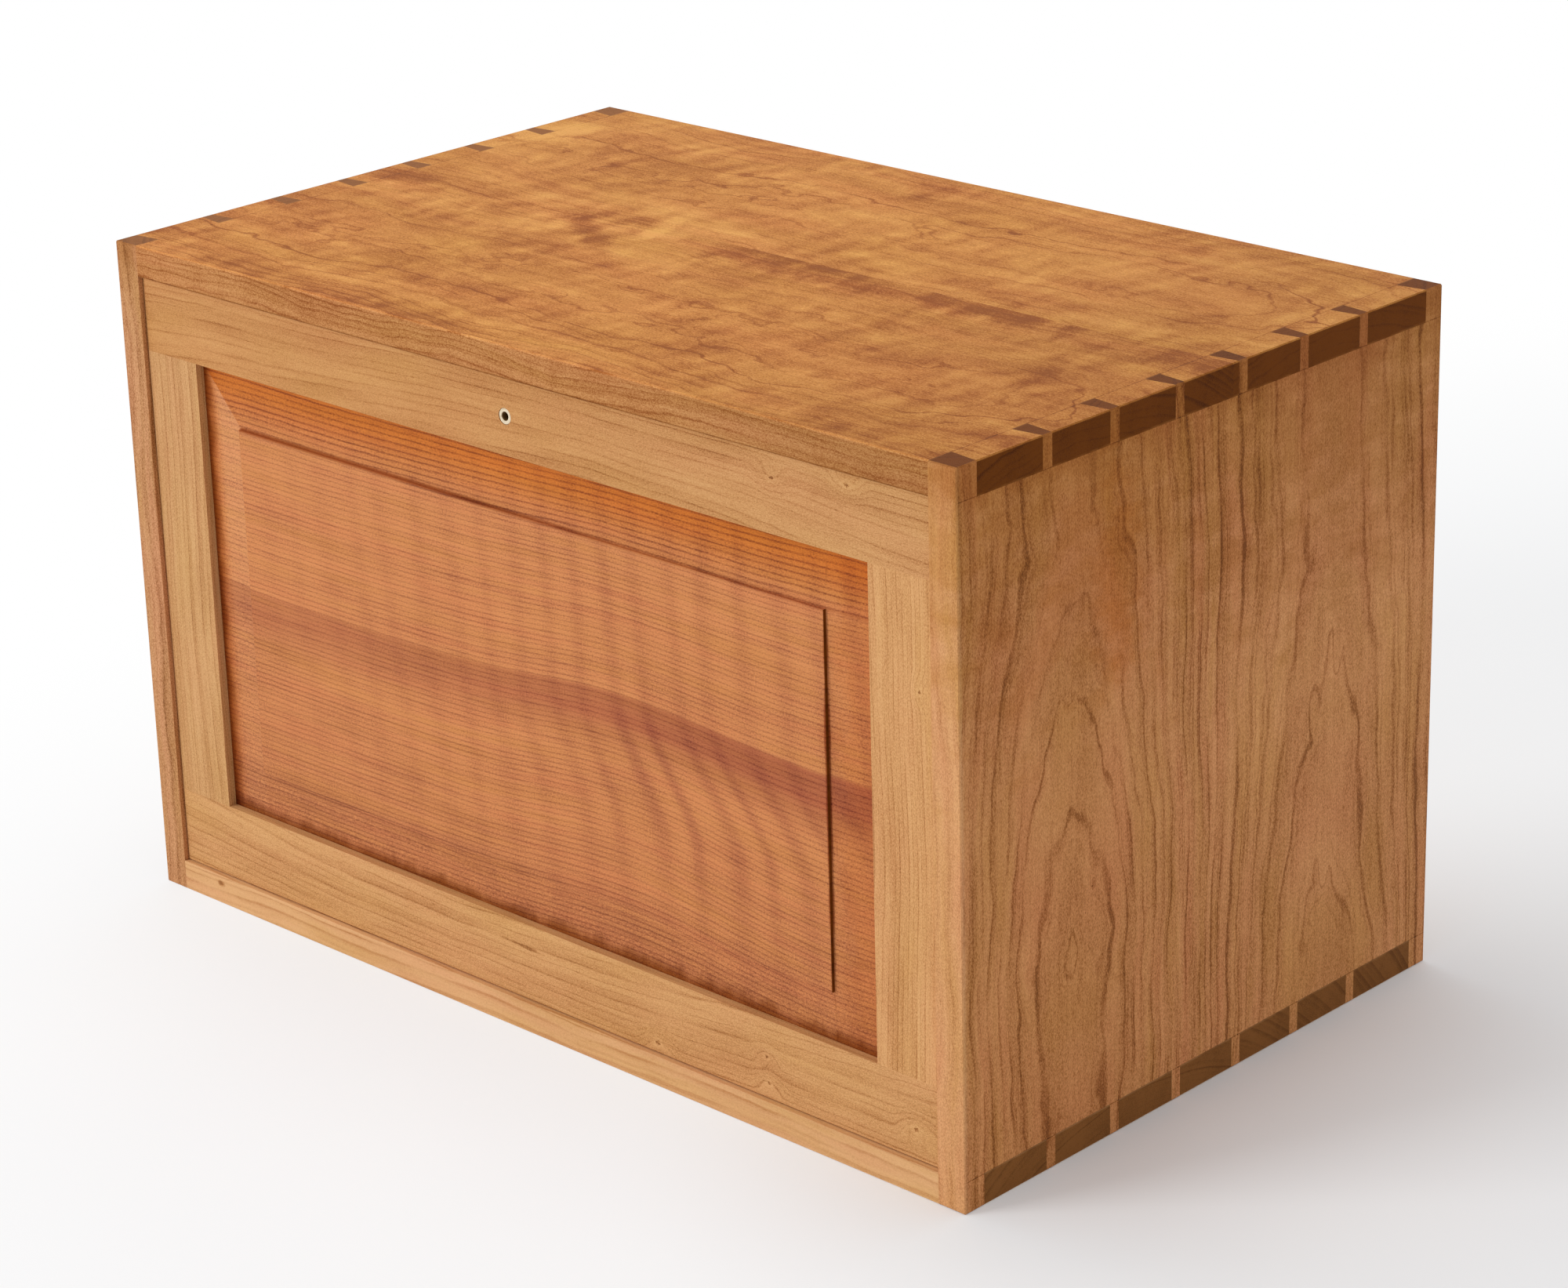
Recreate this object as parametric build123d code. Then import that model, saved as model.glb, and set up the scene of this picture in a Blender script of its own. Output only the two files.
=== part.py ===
from build123d import *
import os
from math import radians, sin
from dataclasses import dataclass

# Carpenter's tool chest: a dovetailed case, a framed back, a lift-out framed front with a lock,
# and four drawers. Millimetres. X runs to the right, Y to the back, Z up. Inside the script y is
# counted from the front edges of the case; export() moves the whole chest so that the origin
# lies at the centre of its base.

# --- case ---------------------------------------------------------------------------------
WIDTH = 610.0             # outside, left to right
DEPTH = 377.0             # outside, front to back
HEIGHT = 382.0            # outside
BOARD = 17.4              # thickness of the four case boards
ARRIS = 0.6               # softened outer edges of the case

# --- dovetails of the case ----------------------------------------------------------------
CASE_PINS = 6             # full pins at each corner, between two half pins
PIN_FRONT = 64.0          # front edge of a board to the middle of its first full pin
PIN_BACK = 67.3           # back edge of a board to the middle of its last full pin
PIN_WIDTH = 6.7           # width of a pin at the outer face of the case
HALF_PIN = 14.0           # width of a half pin at the outer face of the case
TAIL_SLOPE = 1 / 8        # sideways run for each millimetre of board thickness

# --- lift-out front -----------------------------------------------------------------------
FRONT_SETBACK = 2.7       # the front's face lies behind the edges of the case
FRONT_GAP = 0.5           # gap all round the front
FRONT_THICK = 18.0
FRONT_STILE = 40.7
FRONT_RAIL_TOP = 41.9
FRONT_RAIL_BOTTOM = 43.7
FRONT_ARRIS = 0.4
GROOVE_SET = 5.0          # frame face to the panel groove
GROOVE_WIDE = 6.5
GROOVE_DEEP = 9.0
PANEL_PLAY = 1.0          # room for the panel to swell in its groove
TENON_LENGTH = 25.0
TENON_SHOULDER = 6.0      # outer edge of a stile to its tenon

# --- raised panel of the front ------------------------------------------------------------
FIELD_SET = 1.5           # frame face to the raised field
FIELD_STEP = 2.0          # height of the square step round the field
BEVEL_SIDE = 30.7         # width of the bevel at the sides, the top and the bottom
BEVEL_TOP = 31.6
BEVEL_BOTTOM = 28.0

# --- locating pegs ------------------------------------------------------------------------
PEG_RADIUS = 4.0
PEG_INSIDE = 12.0         # length glued into the front
PEG_OUTSIDE = 9.0
PEG_FROM_EDGE = 70.0      # peg to the inner face of the case side
PEG_CLEARANCE = 0.3       # round a peg in its socket
PEG_END_ROOM = 1.0        # the sockets are this much deeper than the pegs

# --- lock ---------------------------------------------------------------------------------
KEYHOLE_RADIUS = 2.15
RING_RADIUS = 4.45
RING_LENGTH = 6.0
ARBOR_SQUARE = 2.4        # square end of the spindle that the key turns
ARBOR_BURIED = 4.5        # frame face to the tip of the square
JOURNAL_RADIUS = 3.5
JOURNAL_LENGTH = 4.7      # bearing boss let into the back of the rail
JOURNAL_CLEARANCE = 0.05
BOSS_RADIUS = 5.5
CRANK_RADIUS = 6.5
CRANK_THICK = 2.0
CRANK_THROW = 4.0
CRANK_PIN_RADIUS = 1.5
CRANK_START = 45.0        # degrees below the horizontal with the bolt withdrawn
LOCK_PLATE_WIDE = 60.0
LOCK_PLATE_HIGH = 34.0
LOCK_PLATE_THICK = 1.6
LOCK_COVER_WIDE = 44.0
LOCK_COVER_HIGH = 30.0
LOCK_COVER_DEEP = 8.4
LOCK_WALL = 1.2
BOLT_WIDE = 16.0
BOLT_THICK = 3.2
BOLT_BELOW_CASE = 1.0     # gap over the withdrawn bolt
BOLT_FOOT = 3.0           # metal under the crank slot
SLIDE_GAP = 0.3           # running gap between parts that slide past each other
STRIKE_WIDE = 44.0
STRIKE_DEEP = 14.0
STRIKE_THICK = 1.2
STRIKE_POCKET = 6.0       # depth of the pocket behind the strike plate
SCREW_HEAD = 2.5
SCREW_SHANK = 1.2
SCREW_LENGTH = 10.0
SCREW_SLOT = (0.6, 0.6)   # width and depth of the driver slot
SCREW_INSET = 3.5         # screw to the end of its plate
SCREW_MARGIN = 1.0        # wood between a lock screw and the panel groove

# --- framed back --------------------------------------------------------------------------
BACK_SETBACK = 2.7
BACK_THICK = 16.0
BACK_STILE = 60.0
BACK_RAIL = 60.0
BACK_TONGUE = 6.0         # tongue of the back in the grooves of the case: length and thickness

# --- rails and runners --------------------------------------------------------------------
INSIDE_CLEARANCE = 2.8    # knobs and lock to what stands opposite them when the front is in
RAIL_DEEP = 45.0
RAIL_THICK = 14.0
TOP_RAIL_THICK = 8.0
BOTTOM_RAIL_THICK = 12.0
RAIL_HOUSING = 5.0        # rails are let into the case sides
MUNTIN_THICK = 14.0
MUNTIN_TENON = 5.0
RUNNER_WIDE = 20.0
CENTRE_RUNNER_WIDE = 60.0
GUIDE_HIGH = 16.0
STOP_STRIP_START = 60.0   # the strips behind the top edge of the front leave room for the lock
TOP_TIER = 62.0           # height of the opening for the two top drawers
MIDDLE_TIER = 96.0        # height of the opening for the middle drawer

# --- drawers ------------------------------------------------------------------------------
DRAWER_FRONT = 15.0
DRAWER_SIDE = 9.0
DRAWER_LAP = 4.0          # wood left in front of the half-blind tails
DRAWER_BOTTOM = 5.0
BOTTOM_UP = 8.0           # lower edge of a drawer to its bottom board
BOTTOM_PLAY = 0.5         # room for the bottom board in its grooves
DRAWER_GROOVE = 4.0
DRAWER_BACK_GAP = 3.0     # drawer to the back of the case
BACK_BOARD_DROP = 4.0     # the back board of a drawer is lower than its sides
BACK_HOUSING = 3.0
BACK_INSET = 8.0          # back board to the ends of the drawer sides
SIDE_GAP = 0.6
TOP_GAP = 1.0
RUN_GAP = 0.3             # drawer to the runner below it
DRAWER_TAIL = 16.0        # aim for the width of a tail and its pin
DRAWER_PIN = 4.0
DRAWER_HALF_PIN = 5.0
STOP_BLOCK = (24.0, 14.0, 5.0)    # width, depth and height of a drawer stop
STOP_FROM_END = 90.0      # middle of a stop block to the end of its bay
KNOB_RADIUS = 7.5
KNOB_LENGTH = 11.5
KNOB_NECK = 3.6           # radius of the waist
KNOB_TENON = 3.0          # radius of the tenon, which goes right through the drawer front
KNOB_FOOT = 1.0           # the neck spreads by this much at both ends
KNOB_WAIST = 4.0          # length of the neck
KNOB_RIM = 8.1            # height of the widest ring
KNOB_FACE = 0.75          # share of the knob's radius that its domed face takes
KNOB_DOME = 22.0          # radius of the domed face
KNOB_SHARE = 1 / 4        # end of a wide drawer to its knob, as a share of its width

# --- places worked out from the sizes above -----------------------------------------------
INNER_X = WIDTH / 2 - BOARD
FLOOR_Z = BOARD
CEILING_Z = HEIGHT - BOARD
FRONT_BACK_Y = FRONT_SETBACK + FRONT_THICK
BACK_FRONT_Y = DEPTH - BACK_SETBACK - BACK_THICK
LOCK_DEEP = LOCK_PLATE_THICK + LOCK_COVER_DEEP
DRAWER_SETBACK = FRONT_BACK_Y + max(KNOB_LENGTH, LOCK_DEEP) + INSIDE_CLEARANCE
KEYHOLE_Z = CEILING_Z - FRONT_GAP - FRONT_RAIL_TOP / 2
TOP_RAIL_Z = CEILING_Z - TOP_RAIL_THICK
UPPER_RAIL_Z = TOP_RAIL_Z - TOP_TIER - RAIL_THICK
LOWER_RAIL_Z = UPPER_RAIL_Z - MIDDLE_TIER - RAIL_THICK
BOTTOM_RAIL_TOP = FLOOR_Z + BOTTOM_RAIL_THICK
RAIL_BACK_Y = DRAWER_SETBACK + RAIL_DEEP
BOTTOM_RAIL_FRONT_Y = FRONT_BACK_Y + SLIDE_GAP


def block(x0, x1, y0, y1, z0, z1):
    """Rectangular solid between two corners."""
    corner = (Align.MIN, Align.MIN, Align.MIN)
    return Pos(x0, y0, z0) * Box(x1 - x0, y1 - y0, z1 - z0, align=corner)


def prism(points, direction, length):
    """Flat outline of 3-D points, pushed along a direction."""
    outline = make_face(Polyline(*points, close=True))
    return extrude(outline, amount=length, dir=direction)


def rod_y(radius, x, z, y0, y1):
    """Cylinder along Y."""
    seat = (Align.CENTER, Align.CENTER, Align.MIN)
    return Pos(x, y0, z) * Rot(X=-90) * Cylinder(radius, y1 - y0, align=seat)


def minus(shape, cutters):
    """Shape with every cutter taken out of it."""
    for cutter in cutters:
        shape = shape - cutter
    return shape


def together(shapes):
    """Separate solids that share one node, or one solid where they touch."""
    total = shapes[0]
    for shape in shapes[1:]:
        total = total + shape
    return total


def soft_box(x0, x1, y0, y1, z0, z1, arris):
    """Rectangular solid with all twelve edges chamfered."""
    solid = block(x0, x1, y0, y1, z0, z1)
    return chamfer(solid.edges(), arris)


# ------------------------------------------------------------------------------------------
# case
# ------------------------------------------------------------------------------------------
def case_pin_outlines(side):
    """Plan outlines of the pins at one end of the case: narrow outside, wide at the baseline.

    side is -1 on the left and +1 on the right. Half pins stand at the front and back edges.
    """
    outer, base = side * WIDTH / 2, side * INNER_X
    flare = BOARD * TAIL_SLOPE
    pitch = (DEPTH - PIN_FRONT - PIN_BACK) / (CASE_PINS - 1)
    outlines = []
    for i in range(CASE_PINS):
        middle = PIN_FRONT + i * pitch
        narrow, wide = PIN_WIDTH / 2, PIN_WIDTH / 2 + flare
        outlines.append([(outer, middle - narrow), (outer, middle + narrow),
                         (base, middle + wide), (base, middle - wide)])
    outlines.append([(outer, 0), (outer, HALF_PIN), (base, HALF_PIN + flare), (base, 0)])
    outlines.append([(outer, DEPTH), (outer, DEPTH - HALF_PIN),
                     (base, DEPTH - HALF_PIN - flare), (base, DEPTH)])
    return outlines


def case_pins(side, z0):
    """Pins of one case side, one board thick, standing on height z0."""
    return [prism([(x, y, z0) for x, y in outline], (0, 0, 1), BOARD)
            for outline in case_pin_outlines(side)]


def back_groove():
    """Ring-shaped tongue of the back; its grooves in the case are the same ring."""
    y0 = BACK_FRONT_Y + (BACK_THICK - BACK_TONGUE) / 2
    ring = block(-INNER_X - BACK_TONGUE, INNER_X + BACK_TONGUE, y0, y0 + BACK_TONGUE,
                 FLOOR_Z - BACK_TONGUE, CEILING_Z + BACK_TONGUE)
    core = block(-INNER_X, INNER_X, y0, y0 + BACK_TONGUE, FLOOR_Z, CEILING_Z)
    return ring - core


def make_case(rails, strike_cutters):
    """Four dovetailed boards; rails are housed in the sides and the strike in the top."""
    envelope = soft_box(-WIDTH / 2, WIDTH / 2, 0, DEPTH, 0, HEIGHT, ARRIS)
    groove = back_groove()
    case = {}
    for name, z0 in (("case_top", CEILING_Z), ("case_bottom", 0)):
        board = block(-WIDTH / 2, WIDTH / 2, 0, DEPTH, z0, z0 + BOARD)
        pins = case_pins(-1, z0) + case_pins(1, z0)
        case[name] = minus(board, pins + [groove]) & envelope
    case["case_top"] = minus(case["case_top"], strike_cutters)
    for name, side in (("case_side_left", -1), ("case_side_right", 1)):
        x0, x1 = sorted((side * INNER_X, side * WIDTH / 2))
        board = block(x0, x1, 0, DEPTH, FLOOR_Z, CEILING_Z)
        board = together([board] + case_pins(side, CEILING_Z) + case_pins(side, 0))
        case[name] = minus(board, rails + [groove]) & envelope
    return case


# ------------------------------------------------------------------------------------------
# frame-and-panel work, for the front and the back
# ------------------------------------------------------------------------------------------
@dataclass
class Frame:
    """Sizes of one frame: two rails of full width with two stiles tenoned between them."""
    half_width: float
    z0: float
    z1: float
    y0: float
    thick: float
    stile: float
    rail_top: float
    rail_bottom: float
    groove_set: float
    groove_wide: float

    @property
    def inner_x(self):
        return self.half_width - self.stile

    @property
    def opening_z(self):
        return self.z0 + self.rail_bottom, self.z1 - self.rail_top

    @property
    def groove_y(self):
        start = self.y0 + self.groove_set
        return start, start + self.groove_wide

    def panel_groove(self):
        """Space that the grooves and the opening leave for the panel."""
        low, high = self.opening_z
        reach = self.inner_x + GROOVE_DEEP
        return block(-reach, reach, *self.groove_y, low - GROOVE_DEEP, high + GROOVE_DEEP)

    def tenons(self, side):
        """Tenons at both ends of one stile."""
        low, high = self.opening_z
        x0, x1 = sorted((side * (self.inner_x + GROOVE_DEEP),
                         side * (self.half_width - TENON_SHOULDER)))
        return block(x0, x1, *self.groove_y, low - TENON_LENGTH, high + TENON_LENGTH)

    def rail(self, z0, z1):
        bar = block(-self.half_width, self.half_width, self.y0, self.y0 + self.thick, z0, z1)
        return minus(bar, [self.panel_groove(), self.tenons(-1), self.tenons(1)])

    def stile_piece(self, side):
        low, high = self.opening_z
        x0, x1 = sorted((side * self.inner_x, side * self.half_width))
        bar = block(x0, x1, self.y0, self.y0 + self.thick, low, high)
        return bar - self.panel_groove() + self.tenons(side)

    def pieces(self, name):
        """The four members, by node name."""
        low, high = self.opening_z
        return {
            f"{name}_rail_top": self.rail(high, self.z1),
            f"{name}_rail_bottom": self.rail(self.z0, low),
            f"{name}_stile_left": self.stile_piece(-1),
            f"{name}_stile_right": self.stile_piece(1),
        }

    def panel_blank(self):
        """Flat panel that fills the grooves but for its room to swell."""
        low, high = self.opening_z
        reach = GROOVE_DEEP - PANEL_PLAY
        return block(-self.inner_x - reach, self.inner_x + reach, *self.groove_y,
                     low - reach, high + reach)


FRONT = Frame(INNER_X - FRONT_GAP, FLOOR_Z + FRONT_GAP, CEILING_Z - FRONT_GAP,
              FRONT_SETBACK, FRONT_THICK, FRONT_STILE, FRONT_RAIL_TOP, FRONT_RAIL_BOTTOM,
              GROOVE_SET, GROOVE_WIDE)
BACK = Frame(INNER_X, FLOOR_Z, CEILING_Z, BACK_FRONT_Y, BACK_THICK,
             BACK_STILE, BACK_RAIL, BACK_RAIL, GROOVE_SET, BACK_TONGUE)


def rectangle_at(y, x0, x1, z0, z1):
    """Flat rectangle facing along Y."""
    corners = [(x0, y, z0), (x1, y, z0), (x1, y, z1), (x0, y, z1)]
    return make_face(Polyline(*corners, close=True))


def raised_panel():
    """Panel with a shallow bevel on four sides, rising to a square-stepped field."""
    low, high = FRONT.opening_z
    edge_y = FRONT.groove_y[0]
    field_y = FRONT_SETBACK + FIELD_SET
    field = (-FRONT.inner_x + BEVEL_SIDE, FRONT.inner_x - BEVEL_SIDE,
             low + BEVEL_BOTTOM, high - BEVEL_TOP)
    foot = rectangle_at(edge_y, -FRONT.inner_x, FRONT.inner_x, low, high)
    shoulder = rectangle_at(field_y + FIELD_STEP, *field)
    bevel = loft([foot, shoulder])
    x0, x1, z0, z1 = field
    raised = block(x0, x1, field_y, field_y + FIELD_STEP, z0, z1)
    return FRONT.panel_blank() + bevel + raised


def make_back():
    """Framed back whose tongue stands in the grooves of the case."""
    pieces = BACK.pieces("back")
    tongue = back_groove()
    low, high = BACK.opening_z
    wide = INNER_X + BACK_TONGUE
    zones = {
        "back_rail_top": block(-wide, wide, 0, DEPTH, high, HEIGHT),
        "back_rail_bottom": block(-wide, wide, 0, DEPTH, 0, low),
        "back_stile_left": block(-wide, 0, 0, DEPTH, low, high),
        "back_stile_right": block(0, wide, 0, DEPTH, low, high),
    }
    for name, zone in zones.items():
        pieces[name] = pieces[name] + (tongue & zone)
    pieces["back_panel"] = BACK.panel_blank()
    return pieces


# ------------------------------------------------------------------------------------------
# lift-out front and its lock
# ------------------------------------------------------------------------------------------
def peg_places():
    x = INNER_X - PEG_FROM_EDGE
    z = FLOOR_Z + BOTTOM_RAIL_THICK / 2 + FRONT_GAP / 2
    return [(-x, z), (x, z)]


def locating_pegs():
    """Two pegs with rounded ends, glued in the bottom rail of the front."""
    pegs = []
    for x, z in peg_places():
        peg = rod_y(PEG_RADIUS, x, z, FRONT_BACK_Y - PEG_INSIDE, FRONT_BACK_Y + PEG_OUTSIDE)
        tip = peg.edges().filter_by(GeomType.CIRCLE).sort_by(Axis.Y)[-1]
        pegs.append(chamfer(tip, PEG_RADIUS / 3))
    return together(pegs)


def peg_sockets(clearance, y0, y1):
    return [rod_y(PEG_RADIUS + clearance, x, z, y0, y1) for x, z in peg_places()]


def lock_screw_places():
    x = LOCK_PLATE_WIDE / 2 - SCREW_INSET
    z = FRONT_RAIL_TOP / 2 - GROOVE_DEEP - SCREW_SHANK - SCREW_MARGIN
    return [(sx * x, KEYHOLE_Z + sz * z) for sx in (-1, 1) for sz in (-1, 1)]


def driver_slot():
    wide, deep = SCREW_SLOT
    return block(-SCREW_HEAD, SCREW_HEAD, -wide / 2, wide / 2, 0, deep)


def screw(length):
    """Countersunk screw along +Z with its head's face at z = 0 and a slot across it."""
    point = SCREW_SHANK * 2
    profile = [(0, 0), (SCREW_HEAD, 0), (SCREW_SHANK, SCREW_HEAD - SCREW_SHANK),
               (SCREW_SHANK, length - point), (0, length)]
    outline = make_face(Polyline(*[(r, 0, z) for r, z in profile], close=True))
    return revolve(outline, Axis.Z) - driver_slot()


def lock_screws():
    """Four screws through the lock plate into the top rail."""
    face_y = FRONT_BACK_Y + LOCK_PLATE_THICK
    one = Rot(X=90) * screw(SCREW_LENGTH)
    return together([Pos(x, face_y, z) * one for x, z in lock_screw_places()])


def screw_hole(length):
    """Cutter that a screw fills: its outside without the slot."""
    head = Cone(SCREW_HEAD, SCREW_SHANK, SCREW_HEAD - SCREW_SHANK,
                align=(Align.CENTER, Align.CENTER, Align.MIN))
    return screw(length) + (driver_slot() & head)


def lock_screw_holes():
    face_y = FRONT_BACK_Y + LOCK_PLATE_THICK
    one = Rot(X=90) * screw_hole(SCREW_LENGTH)
    return [Pos(x, face_y, z) * one for x, z in lock_screw_places()]


def keyhole_ring():
    """Inlaid ring round the keyhole, flush with the rail."""
    y0, y1 = FRONT_SETBACK, FRONT_SETBACK + RING_LENGTH
    ring = rod_y(RING_RADIUS, 0, KEYHOLE_Z, y0, y1)
    return ring - rod_y(KEYHOLE_RADIUS, 0, KEYHOLE_Z, y0, y1)


def crank_pin_place():
    """Middle of the crank pin with the bolt withdrawn."""
    drop = CRANK_THROW * sin(radians(CRANK_START))
    return drop, KEYHOLE_Z - drop


def lock_spindle():
    """Square arbor, journal, disc and crank pin, turned as one piece."""
    x, z = crank_pin_place()
    boss_y = FRONT_BACK_Y - JOURNAL_LENGTH
    disc_y = FRONT_BACK_Y + LOCK_PLATE_THICK + SLIDE_GAP
    half = ARBOR_SQUARE / 2
    arbor = block(-half, half, FRONT_SETBACK + ARBOR_BURIED, boss_y + half,
                  KEYHOLE_Z - half, KEYHOLE_Z + half)
    journal = rod_y(JOURNAL_RADIUS, 0, KEYHOLE_Z, boss_y, disc_y)
    disc = rod_y(CRANK_RADIUS, 0, KEYHOLE_Z, disc_y, disc_y + CRANK_THICK)
    pin = rod_y(CRANK_PIN_RADIUS, x, z, disc_y, bolt_y()[1])
    return together([arbor, journal, disc, pin])


def bolt_y():
    """Front and back faces of the bolt."""
    start = FRONT_BACK_Y + LOCK_PLATE_THICK + SLIDE_GAP + CRANK_THICK + SLIDE_GAP
    return start, start + BOLT_THICK


def bolt_travel():
    """Rise of the crank pin over a quarter turn, which is the throw of the bolt."""
    return 2 * CRANK_THROW * sin(radians(CRANK_START))


def lock_bolt():
    """Flat bolt with a cross slot for the crank pin."""
    x, z = crank_pin_place()
    half_slot = CRANK_PIN_RADIUS + SLIDE_GAP
    y0, y1 = bolt_y()
    body = block(-BOLT_WIDE / 2, BOLT_WIDE / 2, y0, y1, z - half_slot - BOLT_FOOT,
                 CEILING_Z - BOLT_BELOW_CASE)
    slot = block(x - half_slot, CRANK_THROW + half_slot, y0, y1, z - half_slot, z + half_slot)
    top_edges = body.edges().group_by(Axis.Z)[-1]
    return chamfer(top_edges, LOCK_WALL / 2) - slot


def lock_plate():
    """Plate on the back of the top rail with a bearing boss for the spindle."""
    half_wide, half_high = LOCK_PLATE_WIDE / 2, LOCK_PLATE_HIGH / 2
    boss_y = FRONT_BACK_Y - JOURNAL_LENGTH
    plate_y = FRONT_BACK_Y + LOCK_PLATE_THICK
    plate = block(-half_wide, half_wide, FRONT_BACK_Y, plate_y,
                  KEYHOLE_Z - half_high, KEYHOLE_Z + half_high)
    plate = plate + rod_y(BOSS_RADIUS, 0, KEYHOLE_Z, boss_y, FRONT_BACK_Y)
    bore = rod_y(JOURNAL_RADIUS + JOURNAL_CLEARANCE, 0, KEYHOLE_Z, boss_y, plate_y)
    return minus(plate, [bore] + lock_screw_holes())


def lock_cover():
    """Folded cover over the works, with a slot in its top for the bolt."""
    half_wide, half_high = LOCK_COVER_WIDE / 2, LOCK_COVER_HIGH / 2
    y0 = FRONT_BACK_Y + LOCK_PLATE_THICK
    y1 = y0 + LOCK_COVER_DEEP
    top = KEYHOLE_Z + half_high
    shell = block(-half_wide, half_wide, y0, y1, KEYHOLE_Z - half_high, top)
    inside = block(-half_wide + LOCK_WALL, half_wide - LOCK_WALL, y0, y1 - LOCK_WALL,
                   KEYHOLE_Z - half_high + LOCK_WALL, top - LOCK_WALL)
    slot_half = BOLT_WIDE / 2 + SLIDE_GAP
    slot = block(-slot_half, slot_half, bolt_y()[0] - SLIDE_GAP, bolt_y()[1] + SLIDE_GAP,
                 top - LOCK_WALL, top)
    return shell - inside - slot


def strike_box():
    """Front, back and end faces of the strike plate."""
    middle = sum(bolt_y()) / 2
    return -STRIKE_WIDE / 2, STRIKE_WIDE / 2, middle - STRIKE_DEEP / 2, middle + STRIKE_DEEP / 2


def strike_slot(z0, z1):
    half = BOLT_WIDE / 2 + 2 * SLIDE_GAP
    y0, y1 = bolt_y()
    return block(-half, half, y0 - 2 * SLIDE_GAP, y1 + 2 * SLIDE_GAP, z0, z1)


def strike_screw_places():
    middle = sum(bolt_y()) / 2
    x = STRIKE_WIDE / 2 - SCREW_INSET
    return [(-x, middle), (x, middle)]


def strike_plate():
    """Slotted plate, let in flush under the top board."""
    x0, x1, y0, y1 = strike_box()
    plate = block(x0, x1, y0, y1, CEILING_Z, CEILING_Z + STRIKE_THICK)
    holes = [Pos(x, y, CEILING_Z) * screw_hole(SCREW_LENGTH) for x, y in strike_screw_places()]
    return minus(plate, [strike_slot(CEILING_Z, CEILING_Z + STRIKE_THICK)] + holes)


def strike_screws():
    return together([Pos(x, y, CEILING_Z) * screw(SCREW_LENGTH)
                     for x, y in strike_screw_places()])


def strike_cutters():
    """What the strike, its screws and the thrown bolt take out of the top board."""
    x0, x1, y0, y1 = strike_box()
    recess = block(x0, x1, y0, y1, CEILING_Z, CEILING_Z + STRIKE_THICK)
    pocket = strike_slot(CEILING_Z, CEILING_Z + STRIKE_POCKET)
    holes = [Pos(x, y, CEILING_Z) * screw_hole(SCREW_LENGTH) for x, y in strike_screw_places()]
    return [recess, pocket] + holes


def make_front():
    """Framed front with its panel, pegs, keyhole ring and lock."""
    envelope = soft_box(-FRONT.half_width, FRONT.half_width, FRONT.y0, FRONT_BACK_Y,
                        FRONT.z0, FRONT.z1, FRONT_ARRIS)
    front = {name: piece & envelope for name, piece in FRONT.pieces("front").items()}
    keyway = [
        rod_y(RING_RADIUS, 0, KEYHOLE_Z, FRONT_SETBACK, FRONT_SETBACK + RING_LENGTH),
        rod_y(KEYHOLE_RADIUS, 0, KEYHOLE_Z, FRONT_SETBACK, FRONT_BACK_Y),
        rod_y(BOSS_RADIUS, 0, KEYHOLE_Z, FRONT_BACK_Y - JOURNAL_LENGTH, FRONT_BACK_Y),
    ]
    front["front_rail_top"] = minus(front["front_rail_top"], keyway + lock_screw_holes())
    sockets = peg_sockets(0, FRONT_BACK_Y - PEG_INSIDE, FRONT_BACK_Y)
    front["front_rail_bottom"] = minus(front["front_rail_bottom"], sockets)
    front["front_panel"] = raised_panel()
    front["locating_pegs"] = locating_pegs()
    front["keyhole_ring"] = keyhole_ring()
    front["lock_plate"] = lock_plate()
    front["lock_cover"] = lock_cover()
    front["lock_screws"] = lock_screws()
    front["lock_bolt"] = lock_bolt()
    front["lock_spindle"] = lock_spindle()
    return front


# ------------------------------------------------------------------------------------------
# rails, runners and stops inside the case
# ------------------------------------------------------------------------------------------
def make_rails():
    """Rails across the case, the muntin between the top drawers, and what holds the front."""
    reach = INNER_X + RAIL_HOUSING
    sockets = peg_sockets(PEG_CLEARANCE, BOTTOM_RAIL_FRONT_Y,
                          BOTTOM_RAIL_FRONT_Y + PEG_OUTSIDE + PEG_END_ROOM)
    bottom = block(-INNER_X, INNER_X, BOTTOM_RAIL_FRONT_Y, BOTTOM_RAIL_FRONT_Y + RAIL_DEEP,
                   FLOOR_Z, BOTTOM_RAIL_TOP)
    rails = {
        "top_rail": block(-reach, reach, DRAWER_SETBACK, RAIL_BACK_Y, TOP_RAIL_Z, CEILING_Z),
        "divider_rail_upper": block(-reach, reach, DRAWER_SETBACK, RAIL_BACK_Y,
                                    UPPER_RAIL_Z, UPPER_RAIL_Z + RAIL_THICK),
        "divider_rail_lower": block(-reach, reach, DRAWER_SETBACK, RAIL_BACK_Y,
                                    LOWER_RAIL_Z, LOWER_RAIL_Z + RAIL_THICK),
        "bottom_rail": minus(bottom, sockets),
    }
    half = MUNTIN_THICK / 2
    shelf = UPPER_RAIL_Z + RAIL_THICK
    muntin = block(-half, half, DRAWER_SETBACK, RAIL_BACK_Y,
                   shelf - MUNTIN_TENON, TOP_RAIL_Z + MUNTIN_TENON)
    rails["top_rail"] = rails["top_rail"] - muntin
    rails["divider_rail_upper"] = rails["divider_rail_upper"] - muntin
    rails["divider_muntin"] = muntin
    return rails


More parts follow.
